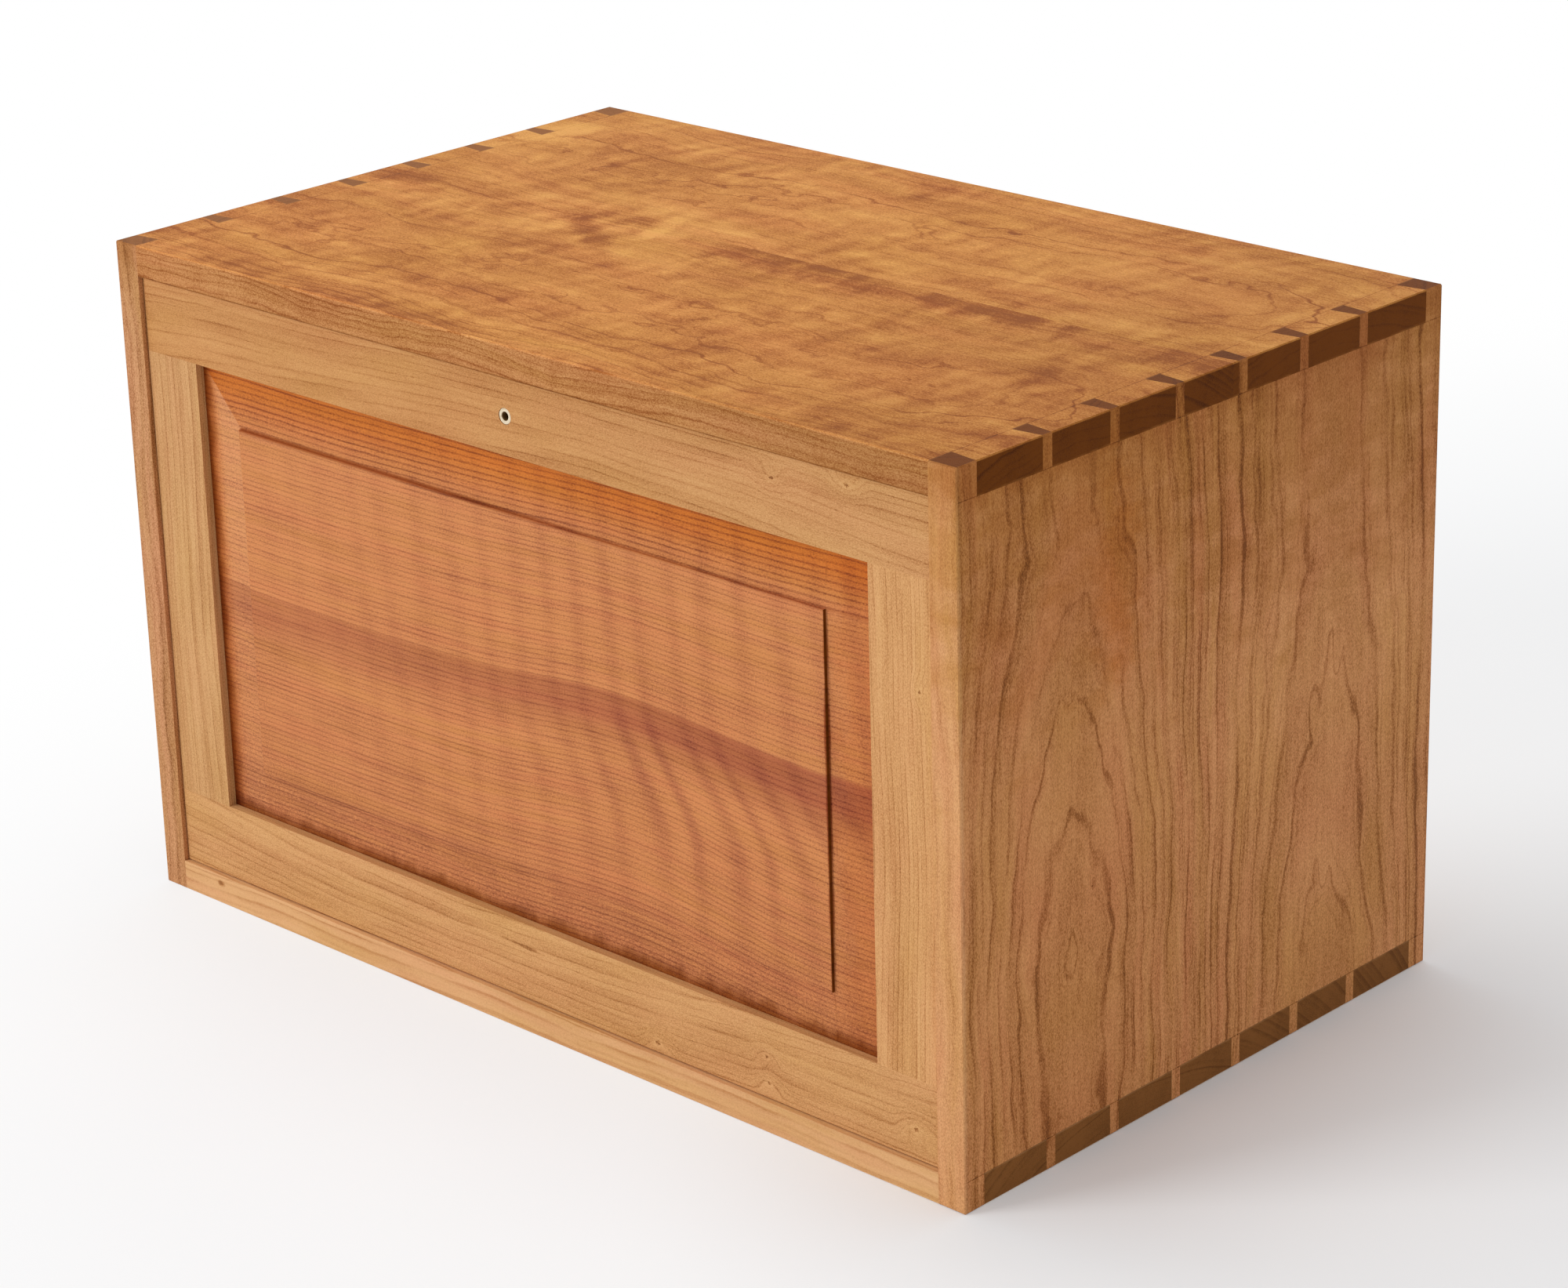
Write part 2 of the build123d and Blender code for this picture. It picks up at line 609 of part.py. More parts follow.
def make_runners():
    """Runners behind the rails, the centre runner with its guide, and the stops."""
    shelf = UPPER_RAIL_Z + RAIL_THICK
    levels = [
        (UPPER_RAIL_Z, shelf, RAIL_BACK_Y),
        (LOWER_RAIL_Z, LOWER_RAIL_Z + RAIL_THICK, RAIL_BACK_Y),
        (FLOOR_Z, BOTTOM_RAIL_TOP, BOTTOM_RAIL_FRONT_Y + RAIL_DEEP),
    ]
    pieces = {}
    for name, side in (("runners_left", -1), ("runners_right", 1)):
        x0, x1 = sorted((side * INNER_X, side * (INNER_X - RUNNER_WIDE)))
        pieces[name] = Compound([block(x0, x1, y0, BACK_FRONT_Y, z0, z1)
                                 for z0, z1, y0 in levels])
    half, guide = CENTRE_RUNNER_WIDE / 2, MUNTIN_THICK / 2
    pieces["runner_centre"] = block(-half, half, RAIL_BACK_Y, BACK_FRONT_Y,
                                    UPPER_RAIL_Z, shelf)
    pieces["centre_guide"] = block(-guide, guide, RAIL_BACK_Y, BACK_FRONT_Y,
                                   shelf, shelf + GUIDE_HIGH)
    pieces["front_stop_strips"] = Compound([
        block(*sorted((side * STOP_STRIP_START, side * INNER_X)),
              BOTTOM_RAIL_FRONT_Y, DRAWER_SETBACK, TOP_RAIL_Z, CEILING_Z) for side in (-1, 1)])
    pieces["drawer_stops"] = Compound([stop for bay in BAYS for stop in bay.stops()])
    return pieces


# ------------------------------------------------------------------------------------------
# drawers
# ------------------------------------------------------------------------------------------
def knob():
    """Turned knob along -Y with its face away from the drawer and its tenon behind."""
    neck_foot = KNOB_NECK + KNOB_FOOT
    face_edge = KNOB_RADIUS * KNOB_FACE
    edge_z = KNOB_LENGTH - KNOB_DOME + (KNOB_DOME ** 2 - face_edge ** 2) ** 0.5
    middle_x = face_edge / 2
    middle_z = KNOB_LENGTH - KNOB_DOME + (KNOB_DOME ** 2 - middle_x ** 2) ** 0.5
    outline = [
        Polyline((0, KNOB_LENGTH), (0, -DRAWER_FRONT), (KNOB_TENON, -DRAWER_FRONT),
                 (KNOB_TENON, 0), (neck_foot, 0)),
        ThreePointArc((neck_foot, 0), (KNOB_NECK, KNOB_WAIST / 2), (neck_foot, KNOB_WAIST)),
        ThreePointArc((neck_foot, KNOB_WAIST), (KNOB_RADIUS, KNOB_RIM), (face_edge, edge_z)),
        ThreePointArc((face_edge, edge_z), (middle_x, middle_z), (0, KNOB_LENGTH)),
    ]
    half = make_face(Curve() + outline)
    turned = revolve(Plane.XZ * half, Axis.Z)
    return Rot(X=90) * turned


@dataclass
class Bay:
    """One drawer and the opening that it fills."""
    name: str
    x0: float
    x1: float
    z0: float
    z1: float
    knobs: int

    @property
    def box(self):
        """Outer faces of the drawer, with its running gaps."""
        return self.x0 + SIDE_GAP, self.x1 - SIDE_GAP, self.z0 + RUN_GAP, self.z1 - TOP_GAP

    @property
    def back_y(self):
        return BACK_FRONT_Y - DRAWER_BACK_GAP

    def tails(self, side):
        """Half-blind tails of one side: wide in front, narrow at the baseline."""
        x0, x1, z0, z1 = self.box
        inner = x0 if side < 0 else x1 - DRAWER_SIDE
        base_y = DRAWER_SETBACK + DRAWER_FRONT
        tip_y = DRAWER_SETBACK + DRAWER_LAP
        flare = (base_y - tip_y) * TAIL_SLOPE
        room = z1 - z0 - 2 * DRAWER_HALF_PIN + DRAWER_PIN
        count = max(2, round(room / (DRAWER_TAIL + DRAWER_PIN)))
        pitch = room / count
        tails = []
        for i in range(count):
            low = z0 + DRAWER_HALF_PIN + i * pitch
            high = low + pitch - DRAWER_PIN
            outline = [(inner, tip_y, low), (inner, tip_y, high),
                       (inner, base_y, high - flare), (inner, base_y, low + flare)]
            tails.append(prism(outline, (1, 0, 0), DRAWER_SIDE))
        return tails

    def groove(self):
        """Groove for the bottom board, round the front and both sides."""
        x0, x1, z0, _ = self.box
        inset = DRAWER_SIDE - DRAWER_GROOVE
        low = z0 + BOTTOM_UP
        return block(x0 + inset, x1 - inset,
                     DRAWER_SETBACK + DRAWER_FRONT - DRAWER_GROOVE, self.back_y,
                     low, low + DRAWER_BOTTOM)

    def knob_places(self):
        x0, x1, z0, z1 = self.box
        middle = (z0 + z1) / 2
        if self.knobs == 1:
            return [((x0 + x1) / 2, middle)]
        inset = (x1 - x0) * KNOB_SHARE
        return [(x0 + inset, middle), (x1 - inset, middle)]

    def stops(self):
        """Blocks on the rail below, behind the drawer front."""
        wide, deep, high = STOP_BLOCK
        y0 = DRAWER_SETBACK + DRAWER_FRONT + SLIDE_GAP
        places = (self.x0 + STOP_FROM_END, self.x1 - STOP_FROM_END)
        return [block(x - wide / 2, x + wide / 2, y0, y0 + deep, self.z0, self.z0 + high)
                for x in places]

    def pieces(self):
        """Front, sides, back, bottom and knobs, by node name."""
        x0, x1, z0, z1 = self.box
        face_y = DRAWER_SETBACK
        inner_y = face_y + DRAWER_FRONT
        front = minus(block(x0, x1, face_y, inner_y, z0, z1),
                      self.tails(-1) + self.tails(1) + [self.groove()])
        holes = [rod_y(KNOB_TENON, x, z, face_y, inner_y) for x, z in self.knob_places()]
        floor = z0 + BOTTOM_UP + DRAWER_BOTTOM
        back = block(x0 + DRAWER_SIDE - BACK_HOUSING, x1 - DRAWER_SIDE + BACK_HOUSING,
                     self.back_y - BACK_INSET - DRAWER_SIDE, self.back_y - BACK_INSET,
                     floor, z1 - BACK_BOARD_DROP)
        pieces = {f"{self.name}_front": minus(front, holes)}
        for end, side in (("left", -1), ("right", 1)):
            start = x0 if side < 0 else x1 - DRAWER_SIDE
            board = block(start, start + DRAWER_SIDE, inner_y, self.back_y, z0, z1)
            board = together([board] + self.tails(side))
            pieces[f"{self.name}_side_{end}"] = minus(board, [self.groove(), back])
        pieces[f"{self.name}_back"] = back
        reach = DRAWER_SIDE - DRAWER_GROOVE + BOTTOM_PLAY
        bottom = self.groove() & block(x0 + reach, x1 - reach,
                                       inner_y - DRAWER_GROOVE + BOTTOM_PLAY, self.back_y,
                                       z0, z1)
        pieces[f"{self.name}_bottom"] = bottom
        knobs = [Pos(x, face_y, z) * knob() for x, z in self.knob_places()]
        label = "knob" if self.knobs == 1 else "knobs"
        pieces[f"{self.name}_{label}"] = Compound([k.solid() for k in knobs])
        return pieces


SHELF_Z = UPPER_RAIL_Z + RAIL_THICK
BAYS = [
    Bay("left_drawer", -INNER_X, -MUNTIN_THICK / 2, SHELF_Z, TOP_RAIL_Z, 1),
    Bay("right_drawer", MUNTIN_THICK / 2, INNER_X, SHELF_Z, TOP_RAIL_Z, 1),
    Bay("middle_drawer", -INNER_X, INNER_X, LOWER_RAIL_Z + RAIL_THICK, UPPER_RAIL_Z, 2),
    Bay("deep_drawer", -INNER_X, INNER_X, BOTTOM_RAIL_TOP, LOWER_RAIL_Z, 2),
]


def export(pieces):
    """Write each sub-part with the origin under the middle of the chest."""
    os.makedirs("parts", exist_ok=True)
    for name, shape in pieces.items():
        export_step(Pos(0, -DEPTH / 2, 0) * shape, f"parts/{name}.step")


def main():
    rails = make_rails()
    pieces = make_case(list(rails.values()), strike_cutters())
    pieces.update(make_back())
    pieces.update(rails)
    pieces.update(make_runners())
    pieces["strike_plate"] = strike_plate()
    pieces["strike_screws"] = strike_screws()
    pieces.update(make_front())
    for bay in BAYS:
        pieces.update(bay.pieces())
    export(pieces)
    print(f"{len(pieces)} sub-parts, bolt throw {bolt_travel():.3f} mm")


main()
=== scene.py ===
# %% [markdown]
# # A joiner's tool chest, finished in Blender
#
# The chest is a dovetailed case of cherry boards with a lift-out front: a pale cherry frame round
# a raised panel of straight-grained softwood. Behind the front sit four drawers.
#
# The shapes come from a CAD model that is loaded here as a fixed frame, in metres. Blender's part of
# the work is the looks: every board gets its own grain, and the raised panel, the knobs and the ring
# of the keyhole are made again with finer surfaces. The lesson goes from camera and light, through
# the tools that draw wood, to the boards one after another.

# %% Load the frame
import math

import bmesh
import bpy
import numpy as np
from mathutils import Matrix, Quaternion, Vector


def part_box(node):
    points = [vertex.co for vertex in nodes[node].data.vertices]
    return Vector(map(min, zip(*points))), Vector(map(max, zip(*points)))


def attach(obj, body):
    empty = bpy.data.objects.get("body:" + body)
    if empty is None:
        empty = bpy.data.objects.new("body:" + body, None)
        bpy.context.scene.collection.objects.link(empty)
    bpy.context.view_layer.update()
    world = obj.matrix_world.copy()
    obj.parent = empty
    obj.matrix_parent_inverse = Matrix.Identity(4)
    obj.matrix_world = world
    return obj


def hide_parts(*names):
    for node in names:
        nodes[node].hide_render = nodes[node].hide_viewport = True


MM = 0.001
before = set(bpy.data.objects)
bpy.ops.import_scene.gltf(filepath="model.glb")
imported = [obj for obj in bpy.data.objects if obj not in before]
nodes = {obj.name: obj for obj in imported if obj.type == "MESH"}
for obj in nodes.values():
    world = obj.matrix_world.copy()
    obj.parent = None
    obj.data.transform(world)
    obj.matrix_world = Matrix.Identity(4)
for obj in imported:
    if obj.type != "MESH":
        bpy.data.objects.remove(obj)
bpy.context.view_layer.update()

# %% [markdown]
# ## Colours
#
# Paint cards give colours from 0 to 255 as an eye sees them. A renderer reckons in amounts of light,
# which rise much faster than the numbers on the card. The amounts could be written out for each colour,
# but nobody can guess them, so one small function turns card numbers into light. Every colour of a
# wood or a metal below is written the way a card gives it.


# %% A colour from a paint card
def card(red, green, blue):
    """Each channel c from 0 to 1 becomes c / 12.92 where darkest, else ((c + 0.055) / 1.055) ** 2.4."""
    seen = np.array([red, green, blue]) / 255
    light = np.where(seen < 0.04045, seen / 12.92, ((seen + 0.055) / 1.055) ** 2.4)
    return (*map(float, light), 1.0)


print("middle grey of the card, as light:", round(card(128, 128, 128)[0], 3))

# %% [markdown]
# ## Camera
#
# A box of this size looks best from about two and a half metres through a long lens, which keeps its
# edges nearly parallel. The camera stands to the right of the front and looks down by less than a
# quarter of a right angle, which shows the front, one side and the lid together. It could be turned
# by hand, but an azimuth, an elevation and a small roll are easier to check.

# %% Place the camera
AZIMUTH, ELEVATION, ROLL = math.radians(44.0), math.radians(20.26), math.radians(-1.57)
STAND = (1.5315, -1.5729, 1.0117)
SENSOR, LENS, SHIFT_UP = 36, 98.9, -0.04

camera = bpy.data.objects.new("camera", bpy.data.cameras.new("camera"))
bpy.context.scene.collection.objects.link(camera)
bpy.context.scene.camera = camera
camera.location = STAND
look = Vector((
    -math.sin(AZIMUTH) * math.cos(ELEVATION), math.cos(AZIMUTH) * math.cos(ELEVATION), -math.sin(ELEVATION),
))
camera.rotation_mode = "QUATERNION"
camera.rotation_quaternion = look.to_track_quat("-Z", "Y") @ Quaternion((0, 0, 1), ROLL)
camera.data.sensor_width, camera.data.lens, camera.data.shift_y = SENSOR, LENS, SHIFT_UP
camera.data.clip_start, camera.data.clip_end = 0.05, 60
print("camera is", round(camera.location.length, 2), "m from the foot of the chest")

# %% [markdown]
# ## Light
#
# A large soft lamp stands to the left of the front, as a window would, and a weaker one hangs over
# the chest, as a skylight would. Both are as large as a studio's light boxes, so that shadows get soft
# ends on the floor and stay crisp under the thin edges of the frame. Small bright lamps would be easier
# to aim, but their hard shadows hide the grain. The rest of the light comes from the pale room all
# round. The powers are set so that a board in full light is as bright as the colour written for it.

# %% Hang the lamps
LIT_POINT = (0, 0, 0.2)


def soft_lamp(name, place, side, watts):
    """A square lamp of the given side in metres, turned to face the chest."""
    lamp = bpy.data.objects.new(name, bpy.data.lights.new(name, "AREA"))
    bpy.context.scene.collection.objects.link(lamp)
    lamp.data.shape, lamp.data.size, lamp.data.energy = "SQUARE", side, watts
    lamp.location = place
    lamp.rotation_euler = (Vector(LIT_POINT) - Vector(place)).to_track_quat("-Z", "Y").to_euler()


soft_lamp("window_lamp", (-2.0, -3.6, 2.0), 1.8, 74)
soft_lamp("skylight_lamp", (-0.2, 0.3, 3.6), 2.2, 37)

# %% [markdown]
# ## A short way to write node trees
#
# A finish is a tree of nodes, and a wood finish needs hundreds of small sums. They could be laid and
# joined one by one in the shader editor, but that hides the idea. Here a Wire stands for a value on its
# way through the tree. Adding, multiplying or comparing wires lays the Math nodes, so that a recipe
# reads like the formula in its comment.


# %% Wires
def math_of(operation, swapped=False):
    """A method that lays one Math node on the wire and another value, or on the two swapped."""
    def method(self, *others):
        """Lays the node and gives its output."""
        values = (*others, self) if swapped else (self, *others)
        return lay(self.tree, "ShaderNodeMath", *values, operation=operation)
    return method


class Wire:
    """One output socket. + - * / with numbers or wires lay a Math node and give its output."""

    __add__ = __radd__ = math_of("ADD")
    __mul__ = __rmul__ = math_of("MULTIPLY")
    __sub__ = math_of("SUBTRACT")
    __rsub__ = math_of("SUBTRACT", swapped=True)
    __truediv__ = math_of("DIVIDE")
    power = math_of("POWER")
    least = math_of("MINIMUM")
    most = math_of("MAXIMUM")
    size = math_of("ABSOLUTE")
    floor = math_of("FLOOR")
    fraction = math_of("FRACT")
    sine = math_of("SINE")
    exponent = math_of("EXPONENT")

    def __init__(self, tree, socket):
        self.tree, self.socket = tree, socket

    def ease(self, start, end, low=0.0, high=1.0):
        """Goes smoothly from low to high as the value goes from start to end."""
        return lay(self.tree, "ShaderNodeMapRange", self, start, end, low, high,
                   interpolation_type="SMOOTHSTEP")

    def parts(self):
        """The three numbers of a vector."""
        split = lay(self.tree, "ShaderNodeSeparateXYZ", self, whole=True)
        return [Wire(self.tree, socket) for socket in split.outputs]


print("operations a wire knows:", [k for k in vars(Wire) if not k.startswith("__")])


# %% Laying nodes
def lay(tree, kind, *values, whole=False, **settings):
    """Adds a node with its options. Values are joined or written to its inputs in order; None skips one."""
    node = tree.nodes.new(kind)
    for option, choice in settings.items():
        setattr(node, option, choice)
    inputs = [s for s in node.inputs if s.enabled]
    for value, socket in zip(values, inputs):
        if isinstance(value, Wire):
            tree.links.new(value.socket, socket)
        elif value is not None:
            socket.default_value = value
    return node if whole else Wire(tree, next(s for s in node.outputs if s.enabled))


def feed(wire, node, label):
    """Joins a wire to the input of that name."""
    wire.tree.links.new(wire.socket, node.inputs[label])


def vector(tree, x, y, z):
    """Three numbers as one vector."""
    return lay(tree, "ShaderNodeCombineXYZ", x, y, z)


def vector_sum(first, operation, second):
    """One sum on two vectors, such as ADD or MULTIPLY, number by number."""
    return lay(first.tree, "ShaderNodeVectorMath", first, second, operation=operation)


def cloud(place, detail=0.0, roughness=0.5):
    """Noise that changes once for each unit of the place, from about 0.2 to 0.8."""
    return lay(place.tree, "ShaderNodeTexNoise", place, 1.0, detail, roughness)


print("node helpers:", [helper.__name__ for helper in (lay, feed, vector, vector_sum, cloud)])

# %% [markdown]
# ## The white room
#
# A chest shown on white needs a white surround that does not flood it with light. More light would
# wash out the wood. Cycles can tell what kind of ray asks for the world's colour, so the camera, and
# anything seen in metal, finds plain white, while the light that reaches the wood comes at half of that.

# %% White to the eye, dimmer to the wood
ROOM = 0.5


def seen_directly(tree):
    """1 for rays from the camera, in a reflection or through glass, else 0."""
    path = lay(tree, "ShaderNodeLightPath", whole=True)
    kinds = ("Is Camera Ray", "Is Glossy Ray", "Is Transmission Ray")
    seen, mirrored, through_glass = (Wire(tree, path.outputs[kind]) for kind in kinds)
    return seen.most(mirrored).most(through_glass)


scene = bpy.context.scene
scene.view_settings.view_transform = "Standard"
scene.world = bpy.data.worlds.new("white_room")
scene.world.use_nodes = True
room = scene.world.node_tree
background = room.nodes["Background"]
background.inputs["Color"].default_value = (1, 1, 1, 1)
feed(lay(room, "ShaderNodeMapRange", seen_directly(room), None, None, ROOM), background, "Strength")
print("room light on the wood:", ROOM)

# %% [markdown]
# ## The sheet of paper
#
# The chest stands on a wide sheet of white paper. A plane would do, but the paper has to fade evenly
# in all directions, so a disc made of rings fits it better, and it needs only a radius and an angle for
# each point. The helpers that it needs, for faces between rings and for a new piece, make the panel,
# the knobs and the ring of the keyhole later on.


# %% Rings of points as a piece
def ring_faces(rows, columns):
    """The four corners of every square between closed rings of points that are numbered ring by ring."""
    row, column = np.arange(rows - 1)[:, None], np.arange(columns)[None, :]
    after = (column + 1) % columns
    corners = [row * columns + column, row * columns + after,
               (row + 1) * columns + after, (row + 1) * columns + column]
    return np.stack(corners, -1).reshape(-1, 4)


def face_outwards(mesh):
    """Turns the faces of a closed surface to look away from its inside."""
    work = bmesh.new()
    work.from_mesh(mesh)
    bmesh.ops.recalc_face_normals(work, faces=work.faces)
    work.to_mesh(mesh)
    work.free()


def new_piece(name, points, faces, body=None, smooth_below=30):
    """A mesh object at the origin; faces that meet at less than the angle in degrees shade as one."""
    mesh = bpy.data.meshes.new(name)
    mesh.from_pydata(np.asarray(points, float).reshape(-1, 3).tolist(), [], [list(f) for f in faces])
    mesh.validate()
    mesh.shade_smooth()
    mesh.set_sharp_from_angle(angle=math.radians(smooth_below))
    piece = bpy.data.objects.new(name, mesh)
    scene.collection.objects.link(piece)
    if body:
        face_outwards(mesh)
        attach(piece, body)
    return piece


print("faces between two rings of four points:", len(ring_faces(2, 4)))

# %% The disc
PAPER_RADII = np.array([0.02, 0.5, 1, 2, 4, 8, 14])[:, None]  # in metres
PAPER_SIDES = 96

around = np.linspace(0, 2 * math.pi, PAPER_SIDES, endpoint=False)
disc = np.stack([PAPER_RADII * np.cos(around), PAPER_RADII * np.sin(around), 0 * PAPER_RADII * around], -1)
middle = np.arange(PAPER_SIDES)[::-1]
floor = new_piece("floor", disc, [*ring_faces(len(PAPER_RADII), PAPER_SIDES), middle])
print("floor faces:", len(floor.data.polygons))

# %% [markdown]
# ## The finish of the paper
#
# Under the chest and in its shade the paper is an ordinary surface, which takes the shadow and gives a
# little light back to the wood. Further out it has to be as white as the room, so that no far edge
# shows. A brighter paper would do that too, but it would throw its light up at the chest. So a plain
# white glow, which only the camera and mirrors see, fades in with the distance from the middle of the
# shade. It fades in later behind the chest, where the shade reaches further.

# %% White paper with a glow
SHADE_MIDDLE = (0.42, -0.02)
SHADE_STRETCH = 0.6


def new_material(name):
    """A material with nodes, its tree and its shader."""
    material = bpy.data.materials.new(name)
    material.use_nodes = True
    return material, material.node_tree, material.node_tree.nodes["Principled BSDF"]


def ramp(tree, amount, *stops):
    """A colour ramp through stops of (position, colour)."""
    node = lay(tree, "ShaderNodeValToRGB", amount, whole=True)
    while len(node.color_ramp.elements) < len(stops):
        node.color_ramp.elements.new(0.5)
    for element, (position, colour) in zip(node.color_ramp.elements, stops):
        element.position, element.color = position, colour
    return Wire(tree, node.outputs[0])


paper, tree, shader = new_material("white_paper")
place = Wire(tree, lay(tree, "ShaderNodeTexCoord", whole=True).outputs["Object"])
mottle = cloud(vector_sum(place, "MULTIPLY", (3, 3, 3)), 3.0)
feed(ramp(tree, mottle, (0.3, card(245, 247, 250)), (0.7, card(249, 251, 253))), shader, "Base Color")
shader.inputs["Roughness"].default_value = 0.9
shader.inputs["Specular IOR Level"].default_value = 0.1
x, y, _ = place.parts()
aside, behind = x - SHADE_MIDDLE[0], y - SHADE_MIDDLE[1]
behind = behind.most(0) * SHADE_STRETCH + behind.least(0)
from_shade = (aside * aside + behind * behind).power(0.5)
far = (from_shade.ease(0.1, 0.38, 0, 0.6) + from_shade.ease(0.55, 1.1, 0, 0.4)) * seen_directly(tree)
glow = lay(tree, "ShaderNodeEmission", (1, 1, 1, 1), 1.0)
mixed = lay(tree, "ShaderNodeMixShader", far, Wire(tree, shader.outputs[0]), glow)
feed(mixed, tree.nodes["Material Output"], "Surface")
floor.data.materials.append(paper)
print("nodes in the finish of the paper:", len(tree.nodes))

# %% [markdown]
# ## Shared effects
#
# Growth rings, curl, fibres and worn edges turn up on every board. They could be copied from finish to
# finish, but then a mend would have to be made many times. Each is a node group instead, built once
# with named inputs and outputs, and placed in a finish with its own values. A group is like a jig: it
# is made carefully once and then used on board after board.


# %% Making and placing a group
def new_group(title, **inputs):
    """A group with one input per name: a number makes a value socket, three numbers a vector socket."""
    group = bpy.data.node_groups.new(title, "ShaderNodeTree")
    for label, value in inputs.items():
        kind = "NodeSocketVector" if isinstance(value, tuple) else "NodeSocketFloat"
        group.interface.new_socket(label, in_out="INPUT", socket_type=kind).default_value = value
    given = group.nodes.new("NodeGroupInput")
    return group, [Wire(group, given.outputs[label]) for label in inputs]


def close_group(group, **outputs):
    """Joins the wires to outputs of the same names."""
    for label in outputs:
        group.interface.new_socket(label, in_out="OUTPUT", socket_type="NodeSocketFloat")
    ends = group.nodes.new("NodeGroupOutput")
    for label, wire in outputs.items():
        feed(wire, ends, label)


def use(group, tree, **values):
    """Places the group in a tree with these values and gives its outputs as wires, by name."""
    node = tree.nodes.new("ShaderNodeGroup")
    node.node_tree = group
    for label, value in values.items():
        if isinstance(value, Wire):
            feed(value, node, label)
        else:
            node.inputs[label].default_value = value
    return {socket.name: Wire(tree, socket) for socket in node.outputs}


ORIGIN = (0.0, 0.0, 0.0)
print("groups so far:", len(bpy.data.node_groups))

# %% [markdown]
# ### Growth rings
#
# A tree is a stack of thin cones round its heart. A board is a flat cut through that stack, so the
# lines on its face are the places where the cut meets each cone: pointed arches where the cut runs
# near the heart, straight lines further off. Blender's Wave texture draws evenly spaced bands, which
# never look like that, so the pattern is made here as it comes about in the tree. Every point of the
# board gets its distance from the heart line, in ring widths. The whole number is the year and the
# fraction is the season.
#
# The heart line sways, and small kinks push it about, because wood never grows evenly. Lean and
# LeanBack say how fast the cones close towards the two ends of the board, up to Reach from the heart
# point. This climb fades to the sides, so that the arches run out into straight lines. Point is how far
# to each side their tips stay sharp, and Push bends the rings round a knot or where a board needs it.
# All lengths are in mm.

# %% Distance from the heart line
rings, given = new_group(
    "growth rings", Place=ORIGIN, Heart=(0.0, 0.0, 40.0), Lean=0.05, LeanBack=0.05, Reach=400.0, Ring=3.2,
    Thick=1.2, Uneven=0.6, Sway=5.0, Kink=1.5, Point=1.0, Fade=0.7, Push=0.0, Seed=0.0)
place, heart, lean, lean_back, reach, ring, thick, uneven, sway, kink, point, fade, push, seed = given
x, y, z = place.parts()
heart_x, heart_y, heart_z = heart.parts()
slow = cloud(vector(rings, x / 110, seed, y / 300)) - 0.5
width = y - heart_y + slow * sway * 2
climb = (x - heart_x).most(0).least(reach) * lean + (heart_x - x).most(0).least(reach) * lean_back
depth = (z - heart_z).size() + climb * width.size().ease(30, 95, 1, 0.3)
kinks = cloud(vector(rings, x / 22, (y + z) / 12, seed + 3), 1.0, 0.5) - 0.5
swells = cloud(vector(rings, x / 60, y / 24, seed + z / 50)) - 0.5
sharp = ((width.size() / point).power(1.25) * point * point).most(width * width)
radius = (sharp + depth * depth).power(0.5) + (kinks + swells) * kink + push
print("sums for the distance from the heart:", len(rings.nodes))

# %% The year and the season
LATE_WOOD = 0.84  # the share of a year after which its dark line comes


def dice(number):
    """A number from 0 to 1 that stays the same all through a year and jumps at the next."""
    return lay(rings, "ShaderNodeTexWhiteNoise", number, noise_dimensions="1D")


turns = radius / ring + (cloud(vector(rings, radius / ring / 2.1, seed, 0.0)) - 0.5) * uneven * 2.4
year = turns.floor()
season = turns - year
tone = dice(year + seed * 7)
weight = dice(year + seed * 3 + 51.5).power(1.6)
steep = (((width / radius).power(2.0) + lean * lean).power(0.5) + 0.06).least(1.0)
offset = (season - LATE_WOOD) * ring / steep
print("sums for the year and the season:", len(rings.nodes))

# %% Lines, late wood and streaks
# line is the dark end of each year and late the shade that leads up to it. fine is a fainter line in
# between. streak and tint change slowly along the grain and faster across it.
fading = 1 - cloud(vector(rings, x / 60, year * 3.7, seed + 7)).ease(0.6, 0.32) * fade
strength = weight * uneven + (1 - uneven)
line = (offset.size() / (1.5 - steep) / thick).ease(0.15, 1.0, 1, 0) * strength * fading
late = offset.ease(-5.0, 0.0) * offset.ease(0.2, 1.4, 1, 0) * tone * fading
halves = turns * 2.0 + 0.3
between = (halves.fraction() - 0.5) * ring / 2 / steep
fine = between.size().ease(0.15, 0.8, 1, 0) * dice(halves.floor() + seed * 5) * fading
streak = cloud(vector(rings, radius / 5, x / 220, seed + 2), 3.0, 0.65) - 0.5
tint = cloud(vector(rings, radius / 9, x / 110, seed + 12), 2.0, 0.5) - 0.5
close_group(rings, Line=line, Late=late, Fine=fine, Tone=tone, Streak=streak, Tint=tint)
print("nodes in growth rings:", len(rings.nodes))

# %% [markdown]
# ### Fibres
#
# Under the rings lies the finest texture: cells a hair wide and a few millimetres long, and now and then
# a darker pore. Noise stretched along the grain gives both. One size alone looks like brushed metal,
# so three are laid over each other.

# %% Fibres
fibres, (place, length, width, seed) = new_group(
    "wood fibres", Place=ORIGIN, Length=14.0, Width=0.55, Seed=0.0)
x, y, z = place.parts()
fine = cloud(vector(fibres, x / length, y / width, z / width + seed), 2.0, 0.7)
short = cloud(vector(fibres, x / width / 1.8, y / width, z / width + seed * 4), 1.0)
coarse = cloud(vector(fibres, x / length / 4, y / width / 3.5, z / width / 3.5 + seed * 2), 1.0)
pore = cloud(vector(fibres, x / length * 3, y / width * 1.1, z / width * 1.1 + seed * 3))
close_group(fibres, Fibre=fine * 0.25 + short + coarse * 0.25 - 0.25, Pore=pore.ease(0.68, 0.78))
print("nodes in wood fibres:", len(fibres.nodes))

